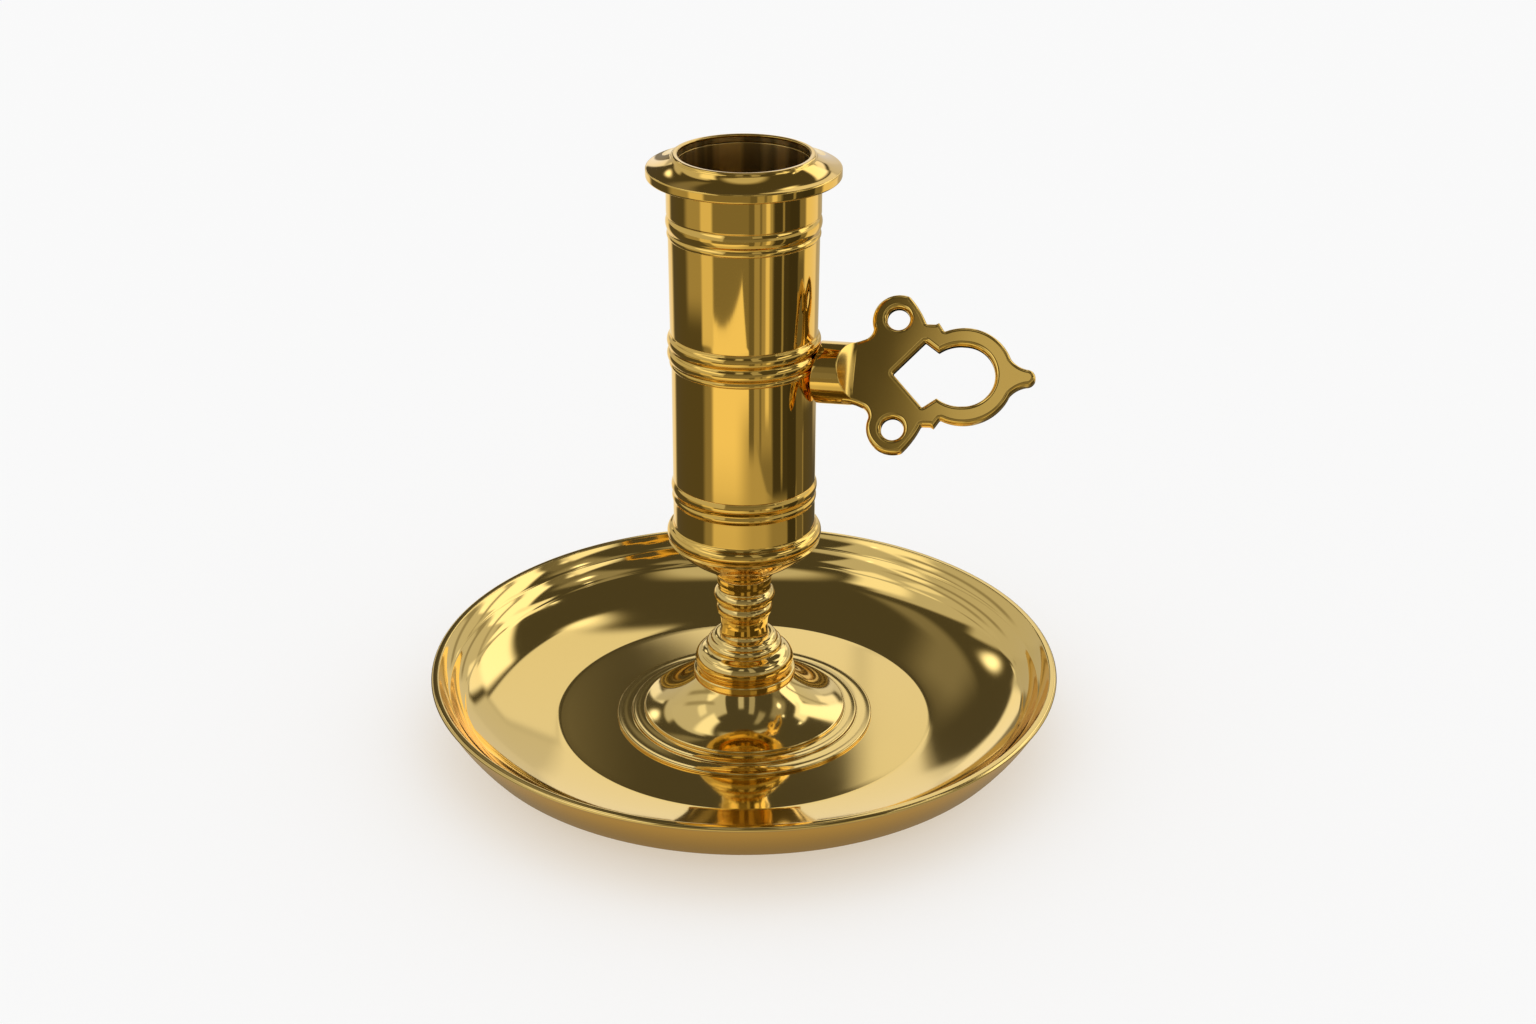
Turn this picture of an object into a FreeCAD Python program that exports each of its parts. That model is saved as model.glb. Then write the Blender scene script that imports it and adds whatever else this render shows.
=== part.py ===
import FreeCAD, Part
import math
import os

import Sketcher
from FreeCAD import Placement, Rotation, Vector

# Brass chamberstick with a finger loop.
# The origin is the centre of the face that it stands on, +Z is up along the candle,
# and the finger loop points along +X. Lengths are in millimetres, angles in degrees.

DOC = FreeCAD.newDocument("Chamberstick")

# Driving dimensions: name, value, what it sets
SIZES = [
    # shared by several pieces
    ("overrun", 2.0, "how far a cut runs past the face that it opens"),
    ("fit_gap", 0.05, "radial gap of a spigot in its seat"),
    ("end_gap", 0.1, "gap left at the blind end of a spigot"),
    ("rod_radius", 2.5, "threaded tie rod"),
    ("rod_gap", 0.2, "radial gap of the rod in the pieces that it passes"),
    ("thread_gap", 0.04, "radial gap that stands for a cut thread"),
    # drip pan
    ("pan_radius", 57.5, "outside of the lip"),
    ("pan_depth", 13.5, "top of the lip above the table"),
    ("pan_floor", 2.5, "top of the pan's floor above the table"),
    ("pan_rise", 23.0, "where the flat floor starts to rise, in from the edge"),
    ("pan_rest_inset", 17.0, "outside of the face that it stands on, in from the edge"),
    ("pan_rest_width", 7.5, "width of the ring that it stands on"),
    ("pan_relief", 0.5, "depth of the hollow inside the rest face"),
    ("pan_heel_inset", 5.5, "corner between underside and outer wall, in from the edge"),
    ("pan_heel_height", 4.8, "height of that corner"),
    ("pan_crease_inset", 5.9, "corner between floor and inner wall, in from the edge"),
    ("pan_crease_rise", 5.5, "height of that corner above the floor"),
    ("pan_wall_bulge", 0.3, "how far the walls bow between lip and corner"),
    ("pan_floor_bulge", 0.8, "how far the floor's rise bows"),
    ("pan_under_bulge", 0.35, "how far the underside bows"),
    ("lip_width", 1.55, "width of the turned lip"),
    ("lip_height", 0.8, "height of the turned lip"),
    ("lip_groove", 0.3, "depth of the fine groove under the lip"),
    ("hub_radius", 8.5, "boss of the pan inside the foot"),
    ("hub_rise", 3.2, "height of that boss above the floor"),
    ("recess_radius", 7.0, "recess for the nut under the pan"),
    ("recess_depth", 4.0, "depth of that recess above the table"),
    ("washer_radius", 6.0, "tie washer"),
    ("washer_thickness", 0.8, "tie washer"),
    ("nut_flats", 8.0, "tie nut across flats"),
    ("nut_height", 2.4, "tie nut"),
    ("rod_stub", 0.4, "rod standing out below the nut"),
    # foot
    ("foot_radius", 23.7, "outer step ring of the foot"),
    ("foot_height", 8.1, "foot from the pan's floor to its flat top"),
    ("foot_top_radius", 9.0, "flat top of the foot"),
    ("foot_wall", 2.0, "wall of the hollow foot"),
    ("step_width_low", 2.8, "outer step ring"),
    ("step_width_mid", 2.3, "middle step ring"),
    ("step_height_low", 0.55, "outer step ring above the floor"),
    ("step_height_mid", 1.15, "middle step ring above the floor"),
    ("step_height_top", 2.05, "upper step ring above the floor"),
    ("step_edge", 0.3, "rounded edge of each step ring"),
    ("foot_scotia", 0.9, "how far the trumpet curve bows inwards"),
    ("register_radius", 5.5, "spigot that centres ring and knop on the foot"),
    ("register_depth", 1.2, "how far that spigot enters the knop"),
    # ring, knop and neck
    ("ring_radius", 9.36, "flat ring between foot and knop"),
    ("ring_height", 1.7, "flat ring"),
    ("ring_edge", 0.3, "rounded edge of the flat ring"),
    ("knop_radius", 8.88, "widest part of the knop"),
    ("knop_height", 6.9, "knop with its shoulder"),
    ("knop_top_radius", 4.7, "flat top of the knop"),
    ("neck_radius", 5.6, "larger bead of the neck"),
    ("neck_height", 12.0, "neck"),
    ("neck_spigot_radius", 3.6, "spigots at both ends of the neck"),
    ("neck_spigot", 1.4, "length of those spigots"),
    # socket base
    ("bowl_height", 7.8, "bowl below the base moulding"),
    ("moulding_relief", 1.17, "how far the base moulding stands out"),
    ("moulding_height", 3.3, "base moulding"),
    ("cup_relief", 0.02, "how far the socket base stands out past the barrel"),
    ("cup_band", 4.2, "height of that plain band"),
    ("bead_band", 4.0, "double bead round the rim of the socket base"),
    ("bead_relief", 0.3, "how far those beads stand out"),
    ("thread_depth", 6.8, "tie rod in the socket base"),
    ("candle_drop", 7.0, "floor for the candle below the top of the socket base"),
    ("ledge_rise", 0.9, "ledge under the tube, above the candle's floor"),
    # barrel
    ("bore_radius", 11.2, "bore for the candle"),
    ("tube_wall", 1.45, "wall of the barrel below and under the middle band"),
    ("tube_step", 0.18, "how far the barrel widens at the top of the middle band"),
    ("tube_taper", 0.14, "how far it widens from there to the nozzle"),
    ("spigot_wall_low", 0.8, "wall of the barrel's end inside the socket base"),
    ("spigot_wall_top", 0.9, "wall of the barrel's end inside the nozzle"),
    ("barrel_low", 21.7, "plain barrel below the middle band"),
    ("band_height", 6.0, "middle band"),
    ("band_relief", 0.73, "how far the middle band's beads stand out"),
    ("barrel_top", 17.3, "plain barrel above the middle band"),
    ("nozzle_step", 0.25, "how far the nozzle's collar stands out past the barrel"),
    ("nozzle_bead_relief", 0.14, "how far the nozzle's bead stands out past its collar"),
    ("flange_reach", 3.38, "drip flange past the nozzle's collar"),
    ("flange_rise", 10.1, "underside of the flange above the nozzle's edge"),
    ("flange_edge", 1.7, "height of the flange's edge"),
    ("mouth_rise", 2.3, "top of the bore above the flange's edge"),
    ("mouth_wall", 1.2, "raised lip round the bore"),
    ("lip_cap", 1.2, "lip of the nozzle over the end of the tube"),
    # finger loop
    ("handle_drop", 6.9, "axis of the stub below the top of the middle band"),
    ("plate_lean", 38.0, "how far the plate leans back from upright"),
    ("plate_turn", 1.8, "how far the plate's own axis is set up from the stub's"),
    ("stub_radius", 5.45, "round stub"),
    ("stub_seat_gap", 0.07, "gap between the stub's end and the middle band"),
    ("plate_root", 4.85, "where the plate's outline starts, from the barrel's wall"),
    ("stub_length", 8.35, "end of the stub inside the plate, from the barrel's wall"),
    ("bevel_foot", 6.75, "where the stub is cut down to the plate's face, from the barrel's wall"),
    ("bevel_run", 2.7, "length of the slope from stub to plate"),
    ("plate_front", 2.0, "front face of the plate, from the stub's axis"),
    ("plate_thickness", 2.3, "plate"),
    ("plate_drop", 0.2, "plate's own axis below the stub's, in the plate"),
    ("lobe_reach", 9.1, "centre of an eyelet from the plate's root"),
    ("lobe_spread", 9.85, "centre of an eyelet from the plate's axis"),
    ("lobe_radius", 4.4, "rounded lobe round an eyelet"),
    ("eyelet_radius", 1.95, "eyelet"),
    ("loop_spacing", 11.7, "centre of the ring past the eyelets"),
    ("loop_radius", 8.65, "outside of the ring"),
    ("loop_hole_width", 5.4, "half width of the ring's opening"),
    ("loop_hole_height", 5.4, "half height of the ring's opening"),
    ("notch_inset", 4.4, "notches between the two openings, from the ring's centre"),
    ("notch_spread", 4.1, "notches from the plate's axis"),
    ("diamond_length", 12.15, "pointed end of the keyhole, from the ring's centre"),
    ("diamond_inset", 6.8, "upper and lower corners of the keyhole, from the ring's centre"),
    ("diamond_spread", 5.85, "those corners from the plate's axis"),
    ("tip_length", 3.65, "drop-shaped tip past the ring"),
    ("tip_radius", 1.5, "drop-shaped tip"),
    ("nib_size", 0.35, "how far the small nib between lobe and ring stands out"),
    ("screw_drop", 1.7, "screw below the stub's axis"),
    ("tenon_radius", 2.8, "tenon that seats the stub on the tube"),
    ("screw_radius", 1.5, "handle screw"),
    ("screw_head_radius", 2.6, "head of the handle screw"),
    ("screw_head_height", 1.1, "cone of that head"),
    ("screw_sink", 0.08, "head below the wall of the bore"),
    ("screw_length", 9.0, "handle screw below its head"),
    ("screw_slot_width", 0.7, "slot of the screw"),
    ("screw_slot_depth", 0.5, "slot of the screw"),
]

# Profiles in shares, chosen by hand. Each row holds a share of the step from an inner to an outer radius,
# a share of the height, and the bow of the curve that leads to the point, in shares of the same step.
LIP_SHARES = [
    (0.00, 0.25, 0.00),
    (-0.25, 1.00, 0.06),
]
KNOP_SHARES = [
    (0.945, 0.000, 0.000),
    (0.945, 0.030, 0.000),
    (0.820, 0.590, 0.130),
    (0.765, 0.625, 0.000),
    (0.690, 0.860, 0.045),
]
NECK_SHARES = [
    (0.820, 0.000, 0.000),
    (0.770, 0.110, -0.012),
    (0.800, 0.290, -0.015),
    (0.840, 0.350, 0.000),
    (0.850, 0.530, 0.070),
    (0.850, 0.545, 0.000),
    (0.860, 0.780, 0.135),
    (0.880, 0.860, -0.010),
    (0.895, 1.000, -0.006),
]
BOWL_SHARES = [
    (0.066, 0.090, -0.010),
    (0.130, 0.240, -0.015),
    (0.980, 0.960, 0.060),
]
MOULDING_SHARES = [
    (0.50, 0.00, 0.0),
    (0.50, 0.72, 0.5),
    (0.00, 1.00, -0.2),
]
BEAD_SHARES = [
    (0.00, 0.04, 0.00),
    (0.00, 0.36, 0.65),
    (0.00, 0.44, 0.00),
    (0.00, 0.96, 1.00),
    (0.00, 1.00, 0.00),
]
BAND_SHARES = [
    (0.30, 0.000, 0.0),
    (0.30, 0.150, 0.2),
    (0.40, 0.180, 0.0),
    (0.40, 0.520, 0.6),
    (0.30, 0.550, 0.0),
    (0.40, 0.580, 0.0),
    (0.40, 0.930, 0.6),
    (0.20, 1.000, 0.0),
]
COLLAR_SHARES = [
    (-1.20, 0.000, 0.0),
    (-1.20, 0.085, 0.9),
    (-1.90, 0.100, 0.0),
    (-1.50, 0.130, 0.0),
    (-1.50, 0.370, 2.5),
    (-1.50, 0.390, 0.0),
    (0.00, 0.400, 0.0),
    (0.00, 1.000, 0.0),
]
FLANGE_SHARES = [
    (0.955, 0.10, 0.00),
    (1.000, 0.25, 0.00),
    (1.000, 0.92, 0.00),
    (0.960, 1.05, 0.01),
]
MOUTH_SHARES = [
    (1.00, -0.33, -0.20),
    (0.50, 0.08, 0.12),
    (0.00, 0.00, 0.00),
]
# A quarter circle stands off its chord by this share of its radius
QUARTER_BOW_SHARE = 1 - math.sqrt(1 / 2)
# Step rings of the foot: rise of the hollow between two rings, in shares of the rounded edge
STEP_RISE_SHARE = 0.33
# Outline of the finger plate: points in shares of the lobe's radius from the eyelet's centre
LOBE_START_SHARES = (-0.96, -0.42)
LOBE_CROWN_SHARES = (0.40, 0.93)
LOBE_FOOT_SHARES = (1.12, -0.17)
# Root of the plate in shares of the eyelet's reach and of the stub's radius
ROOT_FLARE_SHARES = (0.36, 1.09)
# Ends of the ring's arc in shares of the ring's radius
RING_START_SHARES = (-0.42, 0.907)
RING_END_SHARES = (0.925, 0.375)
# Place of the nib on the way from lobe to ring, and its slope in shares of its size
NIB_PLACE_SHARE = 0.52
NIB_RUN_SHARE = 1.3
# Bows of the plate's curves, in shares of the radius beside them
LOBE_BOW_SHARE = 0.62
ROOT_BOW_SHARE = 0.10
NECK_BOW_SHARE = 0.05
FLANK_BOW_SHARE = 0.06
HOLE_FLANK_SHARE = 0.08
TIP_BOW_SHARE = 0.2


class Size:
    """A length from the sheet, or one worked out from such lengths, with the expression that gives it."""

    def __init__(self, value, text):
        self.value = value
        self.text = text

    def __add__(self, other):
        return Size(self.value + other.value, f"({self.text} + {other.text})")

    def __sub__(self, other):
        return Size(self.value - other.value, f"({self.text} - {other.text})")

    def __neg__(self):
        return Size(-self.value, f"(0 - {self.text})")

    def __mul__(self, other):
        if isinstance(other, Size):
            return Size(self.value * other.value, f"({self.text} * {other.text})")
        return Size(self.value * other, f"({self.text} * ({other}))")

    def __truediv__(self, other):
        if isinstance(other, Size):
            return Size(self.value / other.value, f"({self.text} / {other.text})")
        return Size(self.value / other, f"({self.text} / {other})")


class Sheet:
    """The spreadsheet of driving dimensions; each one is read as an attribute."""

    def __init__(self, rows):
        self.cells = DOC.addObject("Spreadsheet::Sheet", "Sizes")
        self.rows = {}
        for number, (name, value, meaning) in enumerate(rows, start=1):
            self.cells.set(f"A{number}", meaning)
            self.cells.set(f"B{number}", str(value))
            self.cells.setAlias(f"B{number}", name)
            self.rows[name] = Size(value, f"Sizes.{name}")

    def __getattr__(self, name):
        return self.rows[name]


S = Sheet(SIZES)
ZERO = Size(0.0, "0")
DOC.recompute()


# Sketches, bodies and placements

def bind(thing, property_path, size):
    """Tie one property of an object to the sheet."""
    thing.setExpression(property_path, size.text)


def origin_plane(body, role):
    """One of the body's own origin planes."""
    return next(feature for feature in body.Origin.OriginFeatures if feature.Role == role)


def new_sketch(body, name, role):
    """An empty sketch on an origin plane of the body."""
    sketch = body.newObject("Sketcher::SketchObject", name)
    sketch.AttachmentSupport = [(origin_plane(body, role), "")]
    sketch.MapMode = "FlatFace"
    return sketch


def hold_point(sketch, constraints, bindings, geometry, position, x, y):
    """Constraints that hold a point at x, y from the sketch's origin."""
    for axis, kind, size in ((-2, "DistanceX", x), (-1, "DistanceY", y)):
        if size is ZERO:
            constraints.append(Sketcher.Constraint("PointOnObject", geometry, position, axis))
            continue
        if size.value < 0:
            ends = (geometry, position, -1, 1)
            size = -size
        else:
            ends = (-1, 1, geometry, position)
        bindings.append((len(constraints), size))
        constraints.append(Sketcher.Constraint(kind, *ends, size.value))


def arc_radius(start, end, bow):
    """Radius of the arc that stands off its chord by bow: chord squared over 8 bows, plus half a bow."""
    across = end[0] - start[0]
    along = end[1] - start[1]
    chord_square = across * across + along * along
    return chord_square / (bow * 8) + bow / 2


def draw_outline(sketch, corners):
    """A closed outline; a corner is (x, y) or (x, y, bow), where bow belongs to the curve that leads to it.

    The outline runs anticlockwise. A curve with a positive bow stands out, one with a negative bow goes in.
    """
    corners = [corner if len(corner) == 3 else (*corner, ZERO) for corner in corners]
    constraints = []
    bindings = []
    joints = []
    for number, end in enumerate(corners):
        start = corners[number - 1]
        first = Vector(start[0].value, start[1].value, 0)
        last = Vector(end[0].value, end[1].value, 0)
        bow = end[2]
        if abs(bow.value) == 0:
            geometry = sketch.addGeometry(Part.LineSegment(first, last), False)
            joints.append((geometry, 1, 2))
            continue
        outward = bow.value > 0
        depth = bow if outward else -bow
        radius = arc_radius(start, end, depth)
        chord = last - first
        left = Vector(-chord.y, chord.x, 0).normalize()
        if not outward:
            left = -left
        centre = (first + last) / 2 + left * (radius.value - depth.value)
        begin, finish = (first, last) if outward else (last, first)
        angles = [math.atan2(point.y - centre.y, point.x - centre.x) for point in (begin, finish)]
        circle = Part.Circle(centre, Vector(0, 0, 1), radius.value)
        geometry = sketch.addGeometry(Part.ArcOfCircle(circle, angles[0], angles[1]), False)
        joints.append((geometry, 1, 2) if outward else (geometry, 2, 1))
        bindings.append((len(constraints), radius))
        constraints.append(Sketcher.Constraint("Radius", geometry, radius.value))
    for number, (geometry, begin, finish) in enumerate(joints):
        following = joints[(number + 1) % len(joints)]
        constraints.append(Sketcher.Constraint("Coincident", geometry, finish, following[0], following[1]))
        end = corners[number]
        hold_point(sketch, constraints, bindings, geometry, finish, end[0], end[1])
    add_constraints(sketch, constraints, bindings)


def draw_circle(sketch, x, y, radius):
    """A circle whose centre and radius are bound to the sheet."""
    circle = Part.Circle(Vector(x.value, y.value, 0), Vector(0, 0, 1), radius.value)
    geometry = sketch.addGeometry(circle, False)
    constraints = [Sketcher.Constraint("Radius", geometry, radius.value)]
    bindings = [(0, radius)]
    hold_point(sketch, constraints, bindings, geometry, 3, x, y)
    add_constraints(sketch, constraints, bindings)


def add_constraints(sketch, constraints, bindings):
    """Add the constraints to the sketch and tie their values to the sheet."""
    first = sketch.ConstraintCount
    sketch.addConstraint(constraints)
    for number, size in bindings:
        sketch.setExpression(f"Constraints[{first + number}]", size.text)


def turned(name, profile):
    """A body turned about the candle's axis from a closed profile of radius and height."""
    body = DOC.addObject("PartDesign::Body", name)
    body.Label = name
    sketch = new_sketch(body, name + "_profile", "XZ_Plane")
    draw_outline(sketch, profile)
    turning = body.newObject("PartDesign::Revolution", name + "_turning")
    turning.Profile = sketch
    turning.ReferenceAxis = (sketch, ["V_Axis"])
    turning.Angle = 360
    body.Tip = turning
    return body


def shared_profile(shares, inner, step, bottom, height):
    """Profile points from shares of the step outside an inner radius, and of a height."""
    points = []
    for step_share, height_share, bow_share in shares:
        bow = step * bow_share if bow_share else ZERO
        points.append((inner + step * step_share, bottom + height * height_share, bow))
    return points


# Levels, one on top of the other

FLOOR = S.pan_floor
FOOT_TOP = FLOOR + S.foot_height
RING_TOP = FOOT_TOP + S.ring_height
KNOP_TOP = RING_TOP + S.knop_height
NECK_TOP = KNOP_TOP + S.neck_height
MOULDING_BOTTOM = NECK_TOP + S.bowl_height
MOULDING_TOP = MOULDING_BOTTOM + S.moulding_height
BEADS_BOTTOM = MOULDING_TOP + S.cup_band
CUP_TOP = BEADS_BOTTOM + S.bead_band
CANDLE_FLOOR = CUP_TOP - S.candle_drop
LEDGE = CANDLE_FLOOR + S.ledge_rise
BAND_BOTTOM = CUP_TOP + S.barrel_low
BAND_TOP = BAND_BOTTOM + S.band_height
HANDLE = BAND_TOP - S.handle_drop
NOZZLE_BOTTOM = BAND_TOP + S.barrel_top
FLANGE_BOTTOM = NOZZLE_BOTTOM + S.flange_rise
NOZZLE_TOP = FLANGE_BOTTOM + S.flange_edge + S.mouth_rise
ROD_HOLE = S.rod_radius + S.rod_gap
WASHER_BOTTOM = S.recess_depth - S.washer_thickness
NUT_BOTTOM = WASHER_BOTTOM - S.nut_height

# Radii, one outside the other

SPIGOT_LOW = S.bore_radius + S.spigot_wall_low
SPIGOT_TOP = S.bore_radius + S.spigot_wall_top
BARREL = S.bore_radius + S.tube_wall
CUP = BARREL + S.cup_relief
BAND = BARREL + S.band_relief
BARREL_MID = BARREL + S.tube_step
BARREL_TOP = BARREL_MID + S.tube_taper
COLLAR = BARREL_TOP + S.nozzle_step

# Centre of the loop's ring, out from the plate's root

RING_CENTRE = S.lobe_reach + S.loop_spacing


# Drip pan and what ties it to the stem

def drip_pan():
    """The pan: rest ring and nut recess below, lip, sloping walls, flat floor and the tie rod's boss."""
    lip_inside = S.pan_radius - S.lip_width
    rest_radius = S.pan_radius - S.pan_rest_inset
    lip_bottom = S.pan_depth - S.lip_height
    hub_top = FLOOR + S.hub_rise
    return turned("drip_pan", [
        (ROD_HOLE, S.recess_depth),
        (S.recess_radius, S.recess_depth),
        (S.recess_radius, S.pan_relief),
        (rest_radius - S.pan_rest_width, S.pan_relief),
        (rest_radius - S.pan_rest_width, ZERO),
        (rest_radius, ZERO),
        (S.pan_radius - S.pan_heel_inset, S.pan_heel_height, S.pan_under_bulge),
        (S.pan_radius - S.lip_groove, lip_bottom, S.pan_wall_bulge),
        *shared_profile(LIP_SHARES, S.pan_radius, S.lip_width, lip_bottom, S.lip_height),
        (lip_inside, S.pan_depth),
        (S.pan_radius - S.pan_crease_inset, FLOOR + S.pan_crease_rise, -S.pan_wall_bulge),
        (S.pan_radius - S.pan_rise, FLOOR, -S.pan_floor_bulge),
        (S.hub_radius, FLOOR),
        (S.hub_radius, hub_top),
        (ROD_HOLE, hub_top),
    ])


def tie_washer():
    """Washer between the nut and the pan."""
    return turned("tie_washer", [
        (ROD_HOLE, WASHER_BOTTOM),
        (S.washer_radius, WASHER_BOTTOM),
        (S.washer_radius, S.recess_depth),
        (ROD_HOLE, S.recess_depth),
    ])


def tie_nut():
    """Thin hexagon nut under the washer."""
    body = DOC.addObject("PartDesign::Body", "tie_nut")
    body.Label = "tie_nut"
    sketch = new_sketch(body, "tie_nut_hexagon", "XY_Plane")
    half_flats = S.nut_flats / 2
    corner = S.nut_flats / Size(math.sqrt(3), "sqrt(3)")
    side = corner / 2
    draw_outline(sketch, [
        (corner, ZERO),
        (side, half_flats),
        (-side, half_flats),
        (-corner, ZERO),
        (-side, -half_flats),
        (side, -half_flats),
    ])
    draw_circle(sketch, ZERO, ZERO, S.rod_radius + S.thread_gap)
    bind(sketch, "AttachmentOffset.Base.z", NUT_BOTTOM)
    pad = body.newObject("PartDesign::Pad", "tie_nut_pad")
    pad.Profile = sketch
    bind(pad, "Length", S.nut_height)
    body.Tip = pad
    return body


def tie_rod():
    """Threaded rod from below the nut up into the socket base."""
    rod = DOC.addObject("Part::Cylinder", "tie_rod")
    rod.Label = "tie_rod"
    bottom = NUT_BOTTOM - S.rod_stub
    bind(rod, "Radius", S.rod_radius)
    bind(rod, "Height", NECK_TOP + S.thread_depth - bottom)
    bind(rod, "Placement.Base.z", bottom)
    return rod


# Foot, ring, knop and neck

def foot_dome():
    """The hollow foot: three step rings, a trumpet curve and a spigot for the ring and the knop."""
    low = FLOOR + S.step_height_low
    mid = FLOOR + S.step_height_mid
    top = FLOOR + S.step_height_top
    mid_radius = S.foot_radius - S.step_width_low
    top_radius = mid_radius - S.step_width_mid
    edge = S.step_edge
    rise = edge * STEP_RISE_SHARE
    bow = edge * QUARTER_BOW_SHARE
    inner_top = FOOT_TOP - S.foot_wall
    spigot_top = RING_TOP + S.register_depth - S.end_gap
    return turned("foot_dome", [
        (S.foot_radius, FLOOR),
        (S.foot_radius, low - edge),
        (S.foot_radius - edge, low, bow),
        (mid_radius, low + rise, -bow),
        (mid_radius, mid - edge),
        (mid_radius - edge, mid, bow),
        (top_radius, mid + rise, -bow),
        (top_radius, top - edge),
        (top_radius - edge, top, bow),
        (S.foot_top_radius, FOOT_TOP, -S.foot_scotia),
        (S.register_radius, FOOT_TOP),
        (S.register_radius, spigot_top),
        (ROD_HOLE, spigot_top),
        (ROD_HOLE, inner_top),
        (S.foot_top_radius - S.foot_wall / 2, inner_top),
        (top_radius - S.foot_wall, FLOOR, S.foot_scotia),
    ])


def foot_ring():
    """Flat ring on top of the foot, centred by the foot's spigot."""
    inside = S.register_radius + S.fit_gap
    edge = S.ring_edge
    bow = edge * QUARTER_BOW_SHARE
    return turned("foot_ring", [
        (inside, FOOT_TOP),
        (S.ring_radius - edge, FOOT_TOP),
        (S.ring_radius, FOOT_TOP + edge, bow),
        (S.ring_radius, RING_TOP - edge),
        (S.ring_radius - edge, RING_TOP, bow),
        (inside, RING_TOP),
    ])


def knop():
    """The bulge and its shoulder, recessed below for the foot's spigot and above for the neck's."""
    recess_top = RING_TOP + S.register_depth
    recess_radius = S.register_radius + S.fit_gap
    neck_recess = KNOP_TOP - S.neck_spigot - S.end_gap
    neck_seat = S.neck_spigot_radius + S.fit_gap
    return turned("knop", [
        (recess_radius, RING_TOP),
        *shared_profile(KNOP_SHARES, ZERO, S.knop_radius, RING_TOP, S.knop_height),
        (S.knop_top_radius, KNOP_TOP, S.knop_radius * KNOP_SHARES[-1][2]),
        (neck_seat, KNOP_TOP),
        (neck_seat, neck_recess),
        (ROD_HOLE, neck_recess),
        (ROD_HOLE, recess_top),
        (recess_radius, recess_top),
    ])


def stem_neck():
    """The neck with its two beads, and a spigot at each end."""
    return turned("stem_neck", [
        (ROD_HOLE, KNOP_TOP - S.neck_spigot),
        (S.neck_spigot_radius, KNOP_TOP - S.neck_spigot),
        (S.neck_spigot_radius, KNOP_TOP),
        *shared_profile(NECK_SHARES, ZERO, S.neck_radius, KNOP_TOP, S.neck_height),
        (S.neck_spigot_radius, NECK_TOP),
        (S.neck_spigot_radius, NECK_TOP + S.neck_spigot),
        (ROD_HOLE, NECK_TOP + S.neck_spigot),
    ])


# Candle socket

def socket_base():
    """The socket's base: bowl, moulding, plain band and double bead, with the candle's floor inside."""
    neck_join = S.neck_radius * NECK_SHARES[-1][0]
    bowl_step = CUP + S.moulding_relief - neck_join
    neck_seat = S.neck_spigot_radius + S.fit_gap
    seat_top = NECK_TOP + S.neck_spigot + S.end_gap
    thread = S.rod_radius + S.thread_gap
    thread_top = NECK_TOP + S.thread_depth + S.end_gap
    tube_seat = SPIGOT_LOW + S.fit_gap
    return turned("socket_base", [
        (neck_seat, NECK_TOP),
        (neck_join, NECK_TOP),
        *shared_profile(BOWL_SHARES, neck_join, bowl_step, NECK_TOP, S.bowl_height),
        *shared_profile(MOULDING_SHARES, CUP, S.moulding_relief, MOULDING_BOTTOM, S.moulding_height),
        *shared_profile(BEAD_SHARES, CUP, S.bead_relief, BEADS_BOTTOM, S.bead_band),
        (tube_seat, CUP_TOP),
        (tube_seat, LEDGE),
        (S.bore_radius, LEDGE),
        (S.bore_radius, CANDLE_FLOOR),
        (ZERO, CANDLE_FLOOR),
        (ZERO, thread_top),
        (thread, thread_top),
        (thread, seat_top),
        (neck_seat, seat_top),
    ])


def barrel_tube():
    """The tube: a spigot at each end, a step for the middle band and the hole for the handle's screw."""
    tube_bottom = LEDGE + S.end_gap
    tube_top = NOZZLE_TOP - S.lip_cap - S.end_gap
    body = turned("barrel_tube", [
        (S.bore_radius, tube_bottom),
        (SPIGOT_LOW, tube_bottom),
        (SPIGOT_LOW, CUP_TOP),
        (BARREL, CUP_TOP),
        (BARREL, BAND_TOP),
        (BARREL_MID, BAND_TOP),
        (BARREL_TOP, NOZZLE_BOTTOM),
        (SPIGOT_TOP, NOZZLE_BOTTOM),
        (SPIGOT_TOP, tube_top),
        (S.bore_radius, tube_top),
    ])
    head = S.bore_radius + S.screw_sink
    cone_end = head + S.screw_head_height
    sketch = new_sketch(body, "screw_hole_profile", "XZ_Plane")
    bind(sketch, "AttachmentOffset.Base.y", HANDLE - S.screw_drop)
    draw_outline(sketch, [
        (S.bore_radius - S.overrun, ZERO),
        (BARREL + S.overrun, ZERO),
        (BARREL + S.overrun, S.screw_radius + S.fit_gap),
        (cone_end, S.screw_radius + S.fit_gap),
        (head, S.screw_head_radius + S.fit_gap),
        (S.bore_radius - S.overrun, S.screw_head_radius + S.fit_gap),
    ])
    hole = body.newObject("PartDesign::Groove", "screw_hole")
    hole.Profile = sketch
    hole.ReferenceAxis = (sketch, ["H_Axis"])
    hole.Angle = 360
    body.Tip = hole
    return body


def middle_band():
    """The ring with two beads, slid on from below against the barrel's step."""
    inside = BARREL + S.fit_gap
    return turned("middle_band", [
        (inside, BAND_BOTTOM),
        *shared_profile(BAND_SHARES, BARREL, S.band_relief, BAND_BOTTOM, S.band_height),
        (inside, BAND_TOP),
    ])


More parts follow.
